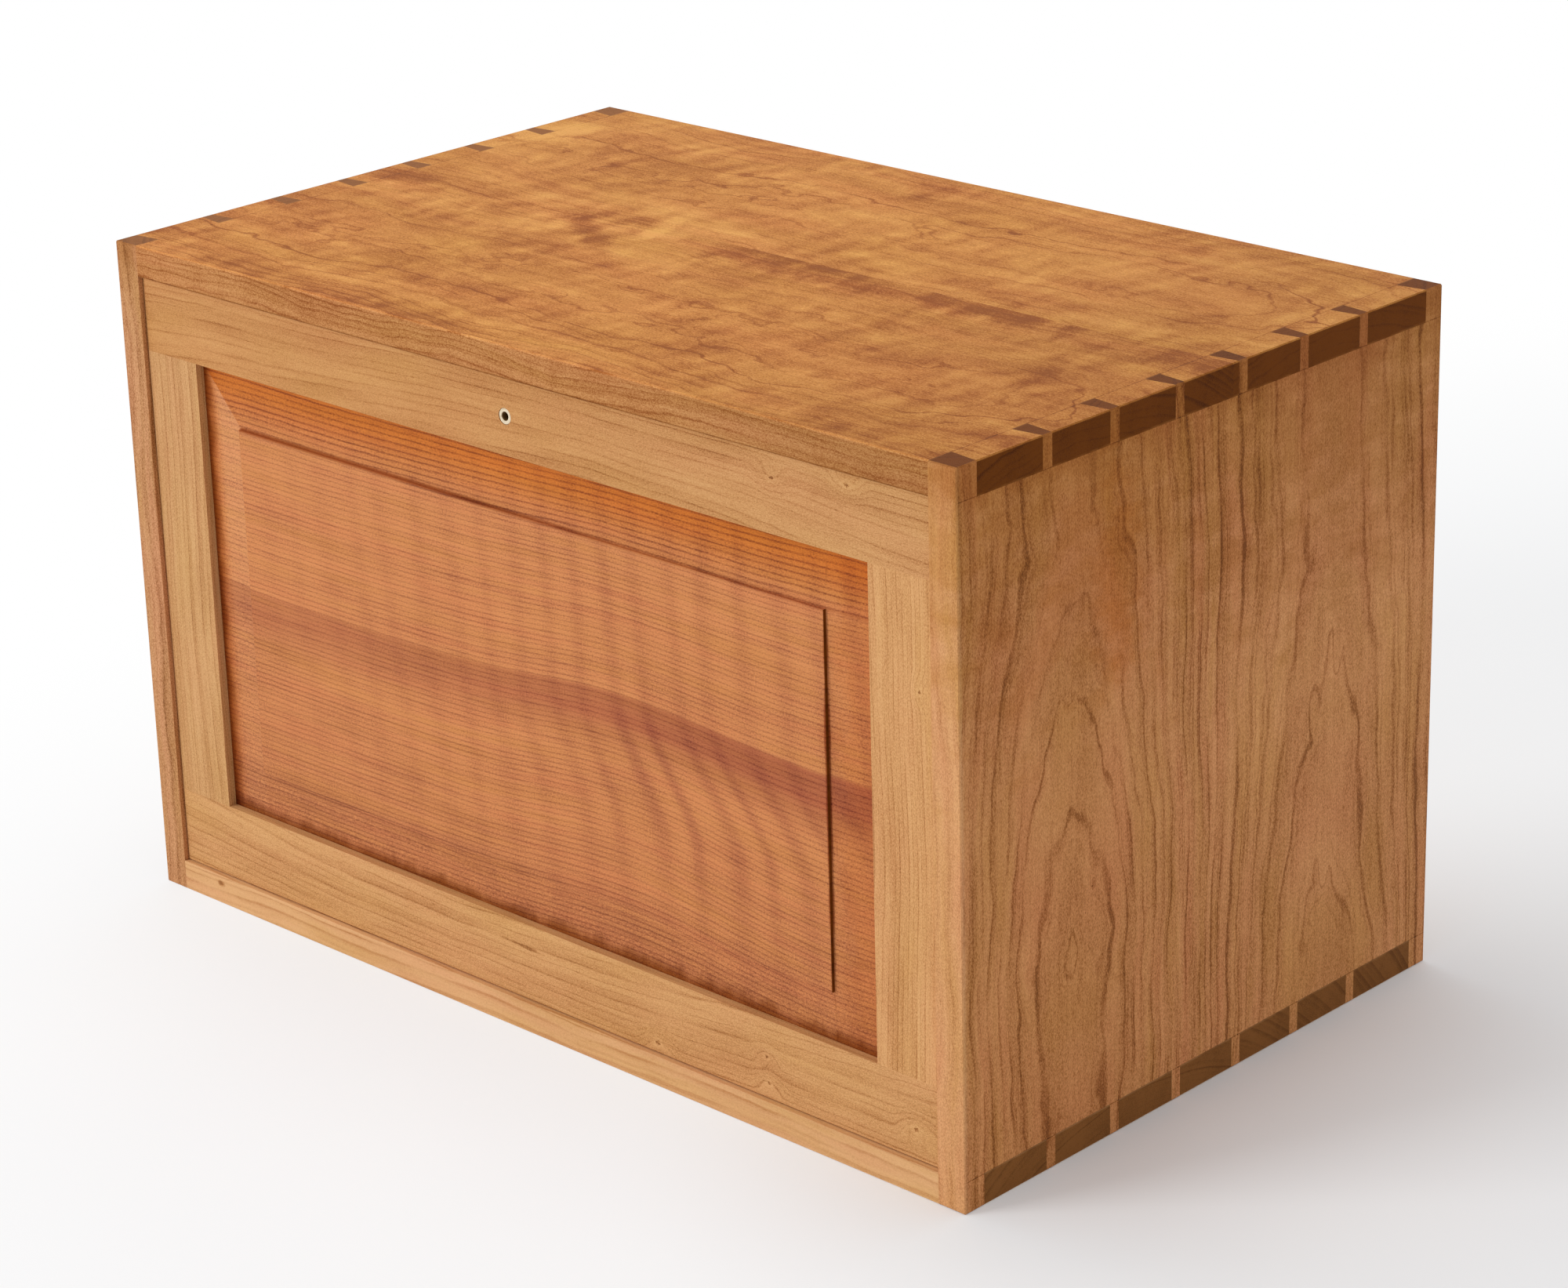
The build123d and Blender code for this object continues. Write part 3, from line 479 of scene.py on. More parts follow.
# %% [markdown]
# ### Curl and cloud
#
# Where fibres wave in and out of the surface, a board shows soft dark and light patches, and in
# the best places short bars across the grain, which joiners call curl. Plain noise gives the clouds but
# never the bars. A sine wave along the board gives those, and noise bends them, breaks them up and
# lets them come and go. Steady makes them more even.

# %% Curl and cloud
figure, (place, long_way, cross_way, pitch, bar, slant, steady, seed) = new_group(
    "curl and cloud", Place=ORIGIN, CloudLength=55.0, CloudWidth=22.0, Pitch=24.0, Bar=34.0, Slant=0.2,
    Steady=0.0, Seed=0.0)
x, y, z = place.parts()
frayed = cloud(vector(figure, x / 60, y / 1.3, seed + 9), 1.0) - 0.5
blotch = cloud(vector(figure, x / long_way + frayed * 0.12, y / cross_way, seed + z / 40), 3.0, 0.55) - 0.5
block = cloud(vector(figure, x / pitch * 2.2 + frayed * 0.3, y / bar, seed + 4), 1.0, 0.5) - 0.5
bend = cloud(vector(figure, x / pitch / 1.6, y / bar / 1.2, seed + 15)) - 0.5
wave = ((x + y * slant + frayed * 5) / pitch * math.tau + bend * (1 - steady * 0.6) * 7).sine()
gate = cloud(vector(figure, x / 70, y / bar / 1.3, seed + 6)).ease(0.38, 0.64).most(steady)
lively = cloud(vector(figure, x / 85, y / 38, seed + 21)).ease(0.42, 0.62, 0.15, 1)
close_group(figure, Cloud=blotch * 2, Bars=wave * gate, Blocks=block * lively * 2)
print("nodes in curl and cloud:", len(figure.nodes))

# %% [markdown]
# ### Soft patches, pin knots and worn edges
#
# Some marks belong to one place on one board: a dark streak, a pale patch, a pin knot. They could be
# painted on an image, but an image fits one board and blurs close up. A soft patch is an ellipse with
# a faded, fingered rim, turned to any angle. A knot is a small dark eye in a pale halo. Worn edges are
# found from the box that the board fills: near an edge, two of the three distances to its faces are
# small, so the second smallest is small.

# %% Soft patch
patch, (place, centre, half, turn, ragged) = new_group(
    "soft patch", Place=ORIGIN, Centre=ORIGIN, Half=(40.0, 10.0, 60.0), Turn=0.0, Ragged=0.5)
away = vector_sum(place, "SUBTRACT", centre)
away = lay(patch, "ShaderNodeVectorRotate", away, (0, 0, 0), turn, rotation_type="Z_AXIS")
away = vector_sum(away, "DIVIDE", half)
measure = lay(patch, "ShaderNodeVectorMath", away, operation="LENGTH", whole=True)
share = Wire(patch, measure.outputs["Value"])
x, y, z = place.parts()
rim = cloud(vector(patch, x / 13, y / 26, z / 30), 2.0, 0.6) - 0.5
close_group(patch, Mask=(share + rim * ragged * 3).ease(0.2, 1.15, 1, 0))
print("nodes in soft patch:", len(patch.nodes))

# %% Pin knot
knot, (place, centre, across) = new_group("pin knot", Place=ORIGIN, Centre=ORIGIN, Across=2.0)
wobble = (cloud(vector_sum(place, "MULTIPLY", (0.9, 0.9, 0.9))) - 0.5) * 1.2
x, y, z = vector_sum(place, "SUBTRACT", centre).parts()
gap = ((x * x * 0.5 + y * y).power(0.5)) / across + wobble
core, halo, bulge = gap.ease(0.2, 1.1, 1, 0), gap.ease(0.9, 2.6, 1, 0), gap.ease(0.0, 9.0, 1, 0)
close_group(knot, Core=core, Halo=halo, Bulge=bulge)
print("nodes in pin knot:", len(knot.nodes))

# %% Worn edges
edges, (place, low, high, width) = new_group(
    "worn edges", Place=ORIGIN, Low=ORIGIN, High=(1.0, 1.0, 1.0), Width=1.2)
near = vector_sum(vector_sum(place, "SUBTRACT", low), "MINIMUM", vector_sum(high, "SUBTRACT", place))
a, b, c = near.parts()
second_smallest = a.least(b).most(a.most(b).least(c))
scuff = cloud(vector_sum(place, "MULTIPLY", (0.08, 0.08, 0.08)), 2.0, 0.6)
close_group(edges, Mask=(second_smallest / width).ease(0.3, 1.0, 1, 0) * scuff.ease(0.3, 0.65))
print("nodes in worn edges:", len(edges.nodes))

# %% [markdown]
# ## One recipe for every board
#
# A finish starts by turning a point of the board into three numbers in millimetres: along the grain,
# across it, and into the thickness. After that every board can use the same groups. Their effects are
# added up to one number, how dark the wood is here, and a ramp of four colours turns it into wood:
# pale, body, shade and line. Adding up darkness keeps every mark in the wood's own colours, where
# mixing layers of colour soon looks like mud.
#
# A board can add marks of its own. Knots and nudges bend the rings. Patches darken or lighten. Scribed
# lines are the ones that a joiner cuts across the grain before sawing dovetails. Washes and tinges
# multiply the colour where the board has aged differently, and on the lid, the frame and the panel they
# also paint shade and highlights in. A flow is a function of a board's own, which says how the rings are
# pushed, how dark the wood is to begin with, how strongly its lines show, and how broad the face is: less
# than 1 on a planed edge, where curl shows less. Its tinges follow.

# %% Where a point lies in its board
AXES = "XYZ"


def lie_of(tree, order):
    """The point in mm, the same as (along, across, through), and how far the face looks along the grain."""
    here = lay(tree, "ShaderNodeTexCoord", whole=True)
    raw = vector_sum(Wire(tree, here.outputs["Object"]), "MULTIPLY", (1 / MM, 1 / MM, 1 / MM))
    facing = Wire(tree, here.outputs["Normal"]).parts()[AXES.index(order[0])].size()
    numbers = raw.parts()
    return raw, vector(tree, *[numbers[AXES.index(letter)] for letter in order]), facing


def box_mm(node):
    """The lowest and highest corners of a node at rest, in mm."""
    return [np.array(corner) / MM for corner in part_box(node)]


print("the lid's box in mm:", *box_mm("case_top"))

# %% The woods
BODY = 0.4
STEPS = (0.0, BODY, 0.75, 1.0)
WOODS = {
    "lid cherry": [card(233, 169, 92), card(204, 134, 66), card(162, 90, 34), card(112, 59, 23)],
    "side cherry": [card(238, 175, 117), card(212, 147, 94), card(168, 105, 57), card(104, 60, 30)],
    "frame cherry": [card(230, 181, 124), card(211, 156, 102), card(178, 120, 70), card(110, 64, 34)],
    "pale cherry": [card(246, 204, 150), card(230, 180, 128), card(196, 136, 84), card(116, 68, 36)],
    "panel softwood": [card(229, 155, 96), card(212, 138, 84), card(169, 99, 62), card(112, 58, 34)],
    "pale maple": [card(236, 206, 162), card(221, 185, 138), card(196, 152, 104), card(140, 98, 62)],
    "boxwood": [card(240, 208, 160), card(226, 188, 138), card(200, 156, 106), card(150, 104, 64)],
    "turned cherry": [card(200, 132, 84), card(170, 98, 56), card(132, 70, 38), card(80, 40, 22)],
}
END_GRAIN = card(114, 59, 6), card(82, 38, 2)
PINKISH, PLAIN, OLIVE = (1.0, 0.9, 0.96, 1), (1, 1, 1, 1), (0.93, 0.95, 0.78, 1)
print("woods:", list(WOODS))

# %% How much of each effect
# lines, fine, late, tones and streaks belong to the rings; clouds, bars and blocks to the curl; flecks
# and pores to the fibres. tints leans the colour to pink or olive, and no wood gets darker than deepest.
USUAL = dict(lines=0.4, fine=0.1, late=0.1, tones=0.1, streaks=0.2, clouds=0.1, bars=0.0, blocks=0.0,
             flecks=0.3, pores=0.1, tints=0.6, deepest=0.88, rough=0.5, shine=0.04)


def soft_mask(tree, place, centre, half, turn, ragged=0.5):
    """How much a point belongs to a soft patch that is turned by so many degrees."""
    angle = math.radians(turn)
    return use(patch, tree, Place=place, Centre=centre, Half=half, Turn=angle, Ragged=ragged)["Mask"]


def bend_rings(tree, place, push, dark, knots, nudges):
    """Knots of (centre, across) push the rings and draw their eyes; nudges are patches that only push."""
    for centre, across in knots:
        eye = use(knot, tree, Place=place, Centre=centre, Across=across)
        push = eye["Bulge"] * across * 2.5 + push
        dark = eye["Core"] * 0.6 - eye["Halo"] * 0.14 + dark
    for centre, half, turn, amount in nudges:
        push = soft_mask(tree, place, centre, half, turn, 0.1) * amount + push
    return push, dark


print("usual amounts:", USUAL)


# %% The years of a board
def years_of(tree, place, heart, seed, push, growth, halves):
    """The ring group. Where two boards are glued, halves gives the seam and what is other beyond it."""
    years = use(rings, tree, Place=place, Heart=heart, Seed=seed, Push=push, **growth)
    if halves:
        seam, other = halves
        other = {"Heart": heart, **growth, **other}
        second = use(rings, tree, Place=place, Seed=seed + 5, Push=push, **other)
        beyond = (place.parts()[1] - seam).ease(-0.1, 0.1)
        years = {label: years[label] + (second[label] - years[label]) * beyond for label in years}
    return years


print("what the rings tell:", [s.name for s in rings.interface.items_tree if s.in_out == "OUTPUT"])


# %% How dark the wood is
def darkness(tree, place, grain, much, start, shown, broad, patches, scribed):
    """Lines * shown + tones + streaks + curl * broad + fibres + start + patches, then the scribed lines."""
    drawn = grain["Line"] * much["lines"] + grain["Fine"] * much["fine"] + grain["Late"] * much["late"]
    curly = grain["Cloud"] * much["clouds"] + grain["Bars"] * much["bars"] + grain["Blocks"] * much["blocks"]
    hairy = (grain["Fibre"] - 0.5) * much["flecks"] + grain["Pore"] * much["pores"]
    dark = drawn * shown + (grain["Tone"] - 0.5) * much["tones"] + grain["Streak"] * much["streaks"]
    dark = dark + curly * broad + hairy + start
    for centre, half, turn, amount in patches:
        dark = soft_mask(tree, place, centre, half, turn) * amount + dark
    dark = dark.least(much["deepest"])
    for mark in scribed:
        dark = (place.parts()[0] - mark).size().ease(0.15, 0.4, 0.3, 0) * broad + dark
    return dark


print("ramp steps from pale to line:", STEPS)


# %% What colour it has
def blend_colour(tree, factor, first, second, mode="MIX"):
    """Two colours mixed by a factor."""
    return lay(tree, "ShaderNodeMix", factor, first, second, data_type="RGBA", blend_type=mode)


def wood_colour(tree, place, grain, dark, wood, tints, tinges, washes):
    """The ramp, leaned to pink or olive, times the tinges of (mask, colour) and the washed patches."""
    colour = ramp(tree, dark, *zip(STEPS, WOODS[wood]))
    lean_to = ramp(tree, grain["Tint"] + 0.5, (0.3, PINKISH), (0.5, PLAIN), (0.7, OLIVE))
    colour = blend_colour(tree, tints, colour, lean_to, "MULTIPLY")
    for mask, wash in tinges:
        colour = blend_colour(tree, mask, colour, wash, "MULTIPLY")
    for centre, half, turn, wash, *ragged in washes:
        mask = soft_mask(tree, place, centre, half, turn, *ragged)
        colour = blend_colour(tree, mask, colour, wash, "MULTIPLY")
    return colour


def oiled_ends(tree, grain, colour, facing, ends):
    """Darkens the cut ends, which drink oil, most of all where they are porous."""
    oiled = grain["Late"] * 0.8 + grain["Pore"] * 0.4 + (grain["Fibre"] - 0.45) * 1.8 + grain["Cloud"] * 0.7
    return blend_colour(tree, facing.ease(0.6, 0.85), colour, blend_colour(tree, oiled, *ends))


print("lean of the colour:", PINKISH, OLIVE)

# %% The board recipe
EDGE_WEAR_AND_SHEEN = 0.2
FIBRE_RELIEF, RELIEF_STRENGTH = 0.12 * MM, 0.35


def plain_flow(tree, place):
    """Rings as they come, the body's own darkness, lines and curl in full, no tinges."""
    return 0.0, BODY, 1.0, 1.0


def coat(piece, material):
    """Gives the piece this material and no other."""
    piece.data.materials.clear()
    piece.data.materials.append(material)


def board_finish(name, order, wood, heart, seed, *, growth={}, curls={}, halves=None, flow=plain_flow,
                 knots=(), nudges=(), patches=(), washes=(), scribed=(), ends=END_GRAIN, piece=None,
                 **amounts):
    """Bends the rings, sums up the darkness, colours it, and coats the node, or the piece in its place."""
    much = {**USUAL, **amounts}
    material, tree, shader = new_material(name)
    raw, place, facing = lie_of(tree, order)
    push, start, shown, broad, *tinges = flow(tree, place)
    push, start = bend_rings(tree, place, push, start, knots, nudges)
    grain = {**years_of(tree, place, heart, seed, push, growth, halves),
             **use(figure, tree, Place=place, Seed=seed, **curls),
             **use(fibres, tree, Place=place, Seed=seed)}
    dark = darkness(tree, place, grain, much, start, shown, broad, patches, scribed)
    colour = wood_colour(tree, place, grain, dark, wood, much["tints"], tinges, washes)
    colour = oiled_ends(tree, grain, colour, facing, ends)
    low, high = box_mm(name)
    # Near the edges the colour moves part of the way to the wood's body colour: partly wear, partly a painted
    # highlight on the arris.
    worn = use(edges, tree, Place=raw, Low=low, High=high)["Mask"]
    feed(blend_colour(tree, worn * EDGE_WEAR_AND_SHEEN, colour, WOODS[wood][1]), shader, "Base Color")
    feed(grain["Fibre"] * 0.2 + (much["rough"] - 0.1), shader, "Roughness")
    height = grain["Fibre"] * 0.7 - grain["Line"] * 0.5 - grain["Pore"] * 0.5
    feed(lay(tree, "ShaderNodeBump", RELIEF_STRENGTH, FIBRE_RELIEF, None, height), shader, "Normal")
    shader.inputs["Specular IOR Level"].default_value = much["shine"]
    coat(piece or nodes[name], material)


def nodes_in(name):
    """How many nodes a finish has, groups counted as one."""
    return len(bpy.data.materials[name].node_tree.nodes)


print("recipe ready; groups:", [g.name for g in bpy.data.node_groups])

# %% [markdown]
# ## The lid
#
# Two boards glued edge to edge make the lid. Both were sawn near the bark, so each shows long arches,
# and the one in front has strong curl and dark clouds along the glue line. Noise alone would put such
# clouds anywhere, and they are what one knows this lid by, so the seam's band and fifteen patches are
# placed one by one, and noise only frays them.
#
# The lid's front edge is planed and greyer than its top. Along the arris where it meets the top, a light
# line is a painted highlight, and a dark line at its foot is painted shade over the thin gap that parts
# it from the frame below.


# %% Marks on a broad face
DEEP = 60.0  # half the thickness of a mark: more than any board's, so that it only counts on the face


def marks(depth, *rows):
    """Rows of (along, across, half length, half width, turn, effect) as soft patches at one depth."""
    return [((along, across, depth), (half_length, half_width, DEEP), turn, *effect)
            for along, across, half_length, half_width, turn, *effect in rows]


def pin_knots(depth, *rows):
    """Rows of (along, across, size) as knots at one depth."""
    return [((along, across, depth), size) for along, across, size in rows]


lid_low, lid_high = box_mm("case_top")
CASE_FRONT = float(lid_low[1])
LID_FACE = 380.0
LID_PATCHES = marks(
    LID_FACE,
    (-110, -16, 66, 11, 36, 0.36),  # the slanting dark streak and the pale ones on both sides of it
    (-88, 20, 50, 9, 72, -0.2),
    (-165, -18, 36, 22, 0, -0.34),
    (-212, -25, 26, 30, 0, -0.16),
    (-73, 5, 20, 14, 30, -0.3),
    (-80, -38, 20, 14, 0, -0.2),
    (-215, 118, 66, 36, 20, 0.18),  # clouds on the left
    (-285, 2, 36, 16, 0, 0.2),
    (-180, -12, 16, 26, 0, 0.2),
    (-150, 5, 22, 12, 0, 0.2),
    (-285, 125, 26, 46, 0, -0.3),
    (-18, 160, 14, 24, 0, 0.2),  # short bars on the right
    (122, -78, 16, 22, 0, 0.2),
    (244, 60, 18, 18, 0, 0.2),
    (246, -62, 9, 34, -8, 0.2),
)
print("marks on the lid:", len(LID_PATCHES))

# %% The lid's own flow
SEAM = 15.0


def lid_flow(tree, place):
    """Dark bands with fingers under the seam; full lines only near the front and towards the back."""
    x, y, _ = place.parts()
    fingers = cloud(vector(tree, x / 15, y / 40, 5.0), 1.0)
    under = (y + (fingers - 0.5) * 50).ease(-14, 2) * (SEAM - y).ease(-0.3, 0.3)
    band = under * cloud(vector(tree, x / 24, 2.0, 8.4), 1.0).ease(0.4, 0.54, 0.15, 1) * x.ease(-50, -20)
    start = band * 0.31 + y.ease(-60, 60, 0.43, 0.38)
    shown = y.ease(-55, -80).most(y.ease(70, 90) * y.ease(145, 120)).most(0.5)
    return 0.0, start, shown, y.ease(CASE_FRONT + 0.1, CASE_FRONT + 0.7, 0.3, 1.0)


LID_WASHES = [
    ((0, CASE_FRONT, 373), (900, 0.8, DEEP), 0, (0.92, 1.03, 1.54, 1), 0.0),  # the planed front edge
    ((0, CASE_FRONT, lid_high[2]), (9000, 1.5, 1.3), 0, (1.24, 1.26, 1.3, 1), 0.12),  # a painted highlight along the arris
    ((0, CASE_FRONT, lid_low[2]), (9000, 2.0, 0.9), 0, (0.5, 0.42, 0.34, 1), 0.0),  # painted shade at the lid's lower front edge, over the gap
    *marks(LID_FACE, (300, 0, 230, 900, 0, (0.88, 0.88, 0.86, 1), 0.2)),  # the duller right end
]
board_finish(
    "case_top", "XYZ", "lid cherry", (236.0, -98.0, 225.0), 3.0, flow=lid_flow,
    growth=dict(Ring=3.4, Thick=1.0, Lean=0.1, LeanBack=0.004, Kink=3.4, Sway=12.0, Uneven=0.5, Fade=0.55),
    halves=(SEAM, dict(Heart=(240.0, 92.0, 225.0), LeanBack=0.007)),
    curls=dict(CloudLength=58.0, CloudWidth=22.0, Pitch=24.0, Bar=30.0, Slant=-0.3),
    lines=0.4, fine=0.12, tones=0.04, late=0.08, clouds=0.44, bars=0.08, blocks=0.28, streaks=0.36,
    flecks=0.9, pores=0.04, deepest=0.82, scribed=(-288.0, 288.0), patches=LID_PATCHES, washes=LID_WASHES,
    nudges=marks(LID_FACE, (-50, -107, 16, 6, 0, 3.4)))
print("nodes in the finish of the lid:", nodes_in("case_top"))

# %% [markdown]
# ## The bottom
#
# The bottom is a paler board of the same kind. Only its front edge and the ends of its tails are seen,
# so it needs no marks of its own but one small knot near the left corner of the edge.

# %% The bottom
board_finish(
    "case_bottom", "XYZ", "pale cherry", (20.0, -60.0, -150.0), 11.0, growth=dict(Ring=3.4, Lean=0.02),
    lines=0.22, clouds=0.12, scribed=(-288.0, 288.0), ends=(card(142, 92, 46), card(106, 64, 28)),
    patches=[((-256, CASE_FRONT, 12.5), (4, 8, 2.5), 0, 0.5)])
print("nodes in the finish of the bottom:", nodes_in("case_bottom"))

# %% [markdown]
# ## The two sides
#
# Each side is glued up from two boards too, and their grain stands upright. Two stacks of tall arches
# rise side by side, with straight lines between them. The heart lines of the groups are placed so that
# the arches come where the boards have them, and four nudges pinch single arches. The wood darkens
# towards the lid. On the planed front edge the same rings show as quiet lines without curl.

# %% What both sides share
SIDE_FACE = 305.0
SIDE_LOOK = dict(curls=dict(CloudLength=90.0, CloudWidth=40.0), lines=0.36, fine=0.2, tones=0.1, late=0.1,
                 clouds=0.18, streaks=0.5, tints=0.8, flecks=1.0, pores=0.06, scribed=(17.2, 364.8))
SIDE_GROWTH = dict(Ring=4.5, Thick=1.5, Lean=0.08, LeanBack=0.03, Reach=211.0, Kink=2.8, Sway=8.0,
                   Uneven=0.5, Point=22.0)
UNDER_LID = (382, 0, 34, 600, 0, (0.82, 0.72, 0.62, 1))  # both are darkest just under the lid


def side_flow(tree, place):
    """On the planed front edge lines have 0.6 of their strength; curl and scribed lines are left out."""
    across = place.parts()[1]
    edge, face = CASE_FRONT + 0.1, CASE_FRONT + 1.1
    return 0.0, BODY, across.ease(edge, face, 0.6, 1.0), across.ease(edge, face)


def front_edge(depth, effect, *ragged):
    """A mark on the planed front edge of a side."""
    return (190, CASE_FRONT, depth), (600, 3, DEEP), 0, effect, *ragged


print("growth of the sides:", SIDE_GROWTH)

# %% The right side
board_finish(
    "case_side_right", "ZYX", "side cherry", (112.0, -106.0, 235.0), 21.0, flow=side_flow, growth=SIDE_GROWTH,
    halves=(0.0, dict(Heart=(0.0, 98.0, 187.9), Lean=0.04, Reach=260.0, Kink=2.0)), **SIDE_LOOK,
    nudges=marks(SIDE_FACE, (252, -110, 26, 5, 0, 1.2), (206, 104, 20, 5, 0, 1.2), (93, 96, 24, 5, 0, 1.2),
                 (185, 84, 22, 6, 0, -1.2)),
    patches=[*marks(SIDE_FACE, (200, 0, 60, 200, 0, -0.06)), front_edge(296, -0.2)],
    washes=[*marks(SIDE_FACE, (300, -72, 74, 20, 0, (0.96, 0.84, 0.66, 1))),  # the orange streak
            front_edge(296, (0.97, 1.05, 1.18, 1), 0.0),
            *marks(SIDE_FACE,
                   (390, 60, 170, 900, 0, (0.83, 0.76, 0.57, 1)),  # browner towards the lid
                   (190, -130, 9000, 120, 0, (0.95, 0.92, 0.86, 1), 0.1),  # the front board
                   (390, 120, 170, 150, 0, (0.9, 0.9, 0.9, 1)),
                   UNDER_LID)],
    knots=pin_knots(SIDE_FACE, (141.5, -92.4, 0.6), (128.8, -97.6, 0.6), (81.2, -50.6, 0.6)))
print("nodes in the finish of the right side:", nodes_in("case_side_right"))

# %% The left side
board_finish(
    "case_side_left", "ZYX", "side cherry", (-30.0, -88.0, -225.0), 31.0, growth=SIDE_GROWTH, flow=side_flow,
    halves=(0.0, dict(Heart=(-10.0, 104.0, -200.0), Lean=0.05, Reach=300.0, Kink=2.0)), **SIDE_LOOK,
    ends=(card(150, 94, 48), card(122, 74, 36)),
    washes=[front_edge(-296, (0.92, 1.02, 1.2, 1), 0.0), *marks(-SIDE_FACE, UNDER_LID)])
print("nodes in the finish of the left side:", nodes_in("case_side_left"))

# %% [markdown]
# ## The frame of the front
#
# Two rails and two stiles of quiet, fine-grained cherry hold the panel. Their rings are narrow and
# nearly straight, because they were sawn far from the heart. What tells them apart is small: the way
# the grain runs, a few pin knots, a dark fleck, how far each has aged, and on the top rail painted shade
# in the keyhole's bore and under the lid. So one look serves all four, and a table holds what is each
# board's own.

# %% What is each board's own
FRAME_FACE = -186.0
keyhole = np.mean(box_mm("keyhole_ring"), axis=0)


FRAME_BOARDS = {
    "front_rail_top": dict(
        order="XZY", heart=(60.0, 290.0, -60.0), seed=41.0,
        knots=pin_knots(FRAME_FACE, (234.0, 357.6, 1.4), (185.4, 350.6, 1.3)),
        washes=marks(FRAME_FACE,
                     (keyhole[0], keyhole[2], 4, 4, 0, (0.2, 0.15, 0.1, 1), 0.0),  # painted shade in the bore
                     (-190, 357, 420, 900, 0, (0.93, 0.87, 0.78, 1), 0.0),  # more aged on the left
                     (0, lid_low[2], 9000, 1, 0, (0.4, 0.33, 0.26, 1), 0.0))),  # painted shade along the gap under the lid
    "front_rail_bottom": dict(
        order="XZY", heart=(-60.0, 90.0, -60.0), seed=43.0,
        knots=pin_knots(FRAME_FACE, (93.0, 23.4, 1.5), (170.8, 41.0, 1.1), (172.0, 26.5, 1.2),
                        (271.5, 34.0, 1.4)),
        patches=marks(FRAME_FACE, (-4.6, 48, 18, 1.2, 2, 0.5)),
        washes=marks(FRAME_FACE, (0, 30, 9000, 900, 0, (1.05, 1.08, 1.1, 1), 0.0))),
    "front_stile_left": dict(
        order="ZXY", heart=(200.0, -190.0, -60.0), seed=45.0,
        washes=marks(FRAME_FACE, (190, -265, 9000, 900, 0, (0.99, 1.05, 1.1, 1), 0.0))),
    "front_stile_right": dict(
        order="ZXY", heart=(200.0, 190.0, -60.0), seed=47.0,
        knots=pin_knots(FRAME_FACE, (264.8, 278.0, 1.0)),
        washes=marks(FRAME_FACE, (190, 265, 9000, 900, 0, (1.1, 1.13, 1.16, 1), 0.0))),
}
print("the keyhole is", round(float(keyhole[2])), "mm above the floor")

# %% The frame
FRAME_ENDS = card(150, 94, 52), card(112, 66, 34)
for name, own in FRAME_BOARDS.items():
    board_finish(name, wood="frame cherry", lines=0.24, fine=0.0, tones=0.08, late=0.1, clouds=0.18,
                 streaks=0.2, tints=0.4, flecks=0.85, ends=FRAME_ENDS,
                 growth=dict(Ring=1.5, Thick=0.5, Lean=0.02, LeanBack=0.02, Kink=0.5, Sway=3.0, Uneven=0.4),
                 curls=dict(CloudLength=60.0, CloudWidth=14.0), **own)
print("nodes in the finish of each board:", {name: nodes_in(name) for name in FRAME_BOARDS})

# %% [markdown]
# ## The raised panel
#
# The panel floats in grooves of the frame. Its edges are planed to a shallow bevel that ends in a small
# square step, and the field inside stands proud. It could be cut from a box with bevels and insets, but
# run round the four sides, one profile makes all of it: each point of the profile is a rectangle, and
# its distance from the opening says how large. Tiny rounds at the foot and the top of the step catch
# the light as a planed edge does.

# %% The profile of its edge
BEVEL = dict(side=30.7, top=31.6, bottom=28.0)
GROOVE_SET, FIELD_SET, STEP, ROUND, COVE = 5.0, 1.5, 2.0, 0.4, 1.2

opening_low = np.array([box_mm("front_stile_left")[1][0], box_mm("front_rail_bottom")[1][2]])
opening_high = np.array([box_mm("front_stile_right")[0][0], box_mm("front_rail_top")[0][2]])
panel_high = box_mm("front_panel")[1]
frame_face = box_mm("front_rail_top")[0][1]


def panel_profile():
    """Rows of (share of the bevel, mm further in, mm along Y) from the back of the groove to the field.

    The bevel rises as share ** COVE. The foot and the top of the step are quarter circles of radius ROUND.
    """
    groove = frame_face + GROOVE_SET
    field = frame_face + FIELD_SET
    tongue = panel_high[0] - opening_high[0]
    share = np.linspace(0, 1, 9)
    rise = (groove - field - STEP) * share ** COVE
    turn = np.linspace(0, math.pi / 2, 6)
    one = np.ones(6)
    return np.concatenate([
        [[0, -tongue, panel_high[1]], [0, -tongue, groove]],
        np.stack([share, np.where(share < 1, 0, -ROUND), groove - rise], -1),
        np.stack([one, ROUND * (np.sin(turn) - 1), field + STEP - ROUND * (1 - np.cos(turn))], -1)[1:],
        np.stack([one, ROUND * (1 - np.cos(turn)), field + ROUND * (1 - np.sin(turn))], -1),
    ])


print("opening in mm:", opening_low, opening_high, "rows in the profile:", len(panel_profile()))


# %% The panel as a piece
def rectangles(profile):
    """One rectangle for each row: every side moves in by its own bevel times the share, plus the extra."""
    share, extra, depth = profile.T
    left = opening_low[0] + share * BEVEL["side"] + extra
    right = opening_high[0] - share * BEVEL["side"] - extra
    low = opening_low[1] + share * BEVEL["bottom"] + extra
    high = opening_high[1] - share * BEVEL["top"] - extra
    x = np.stack([left, right, right, left], -1)
    z = np.stack([low, low, high, high], -1)
    return np.stack([x, np.repeat(depth[:, None], 4, 1), z], -1) * MM


layers = rectangles(panel_profile())
back, field = np.arange(4)[::-1], np.arange(4) + 4 * (len(layers) - 1)
raised_panel = new_piece("raised_panel", layers, [*ring_faces(len(layers), 4), back, field], "front", 0.1)
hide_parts("front_panel")
print("faces of the panel:", len(raised_panel.data.polygons))
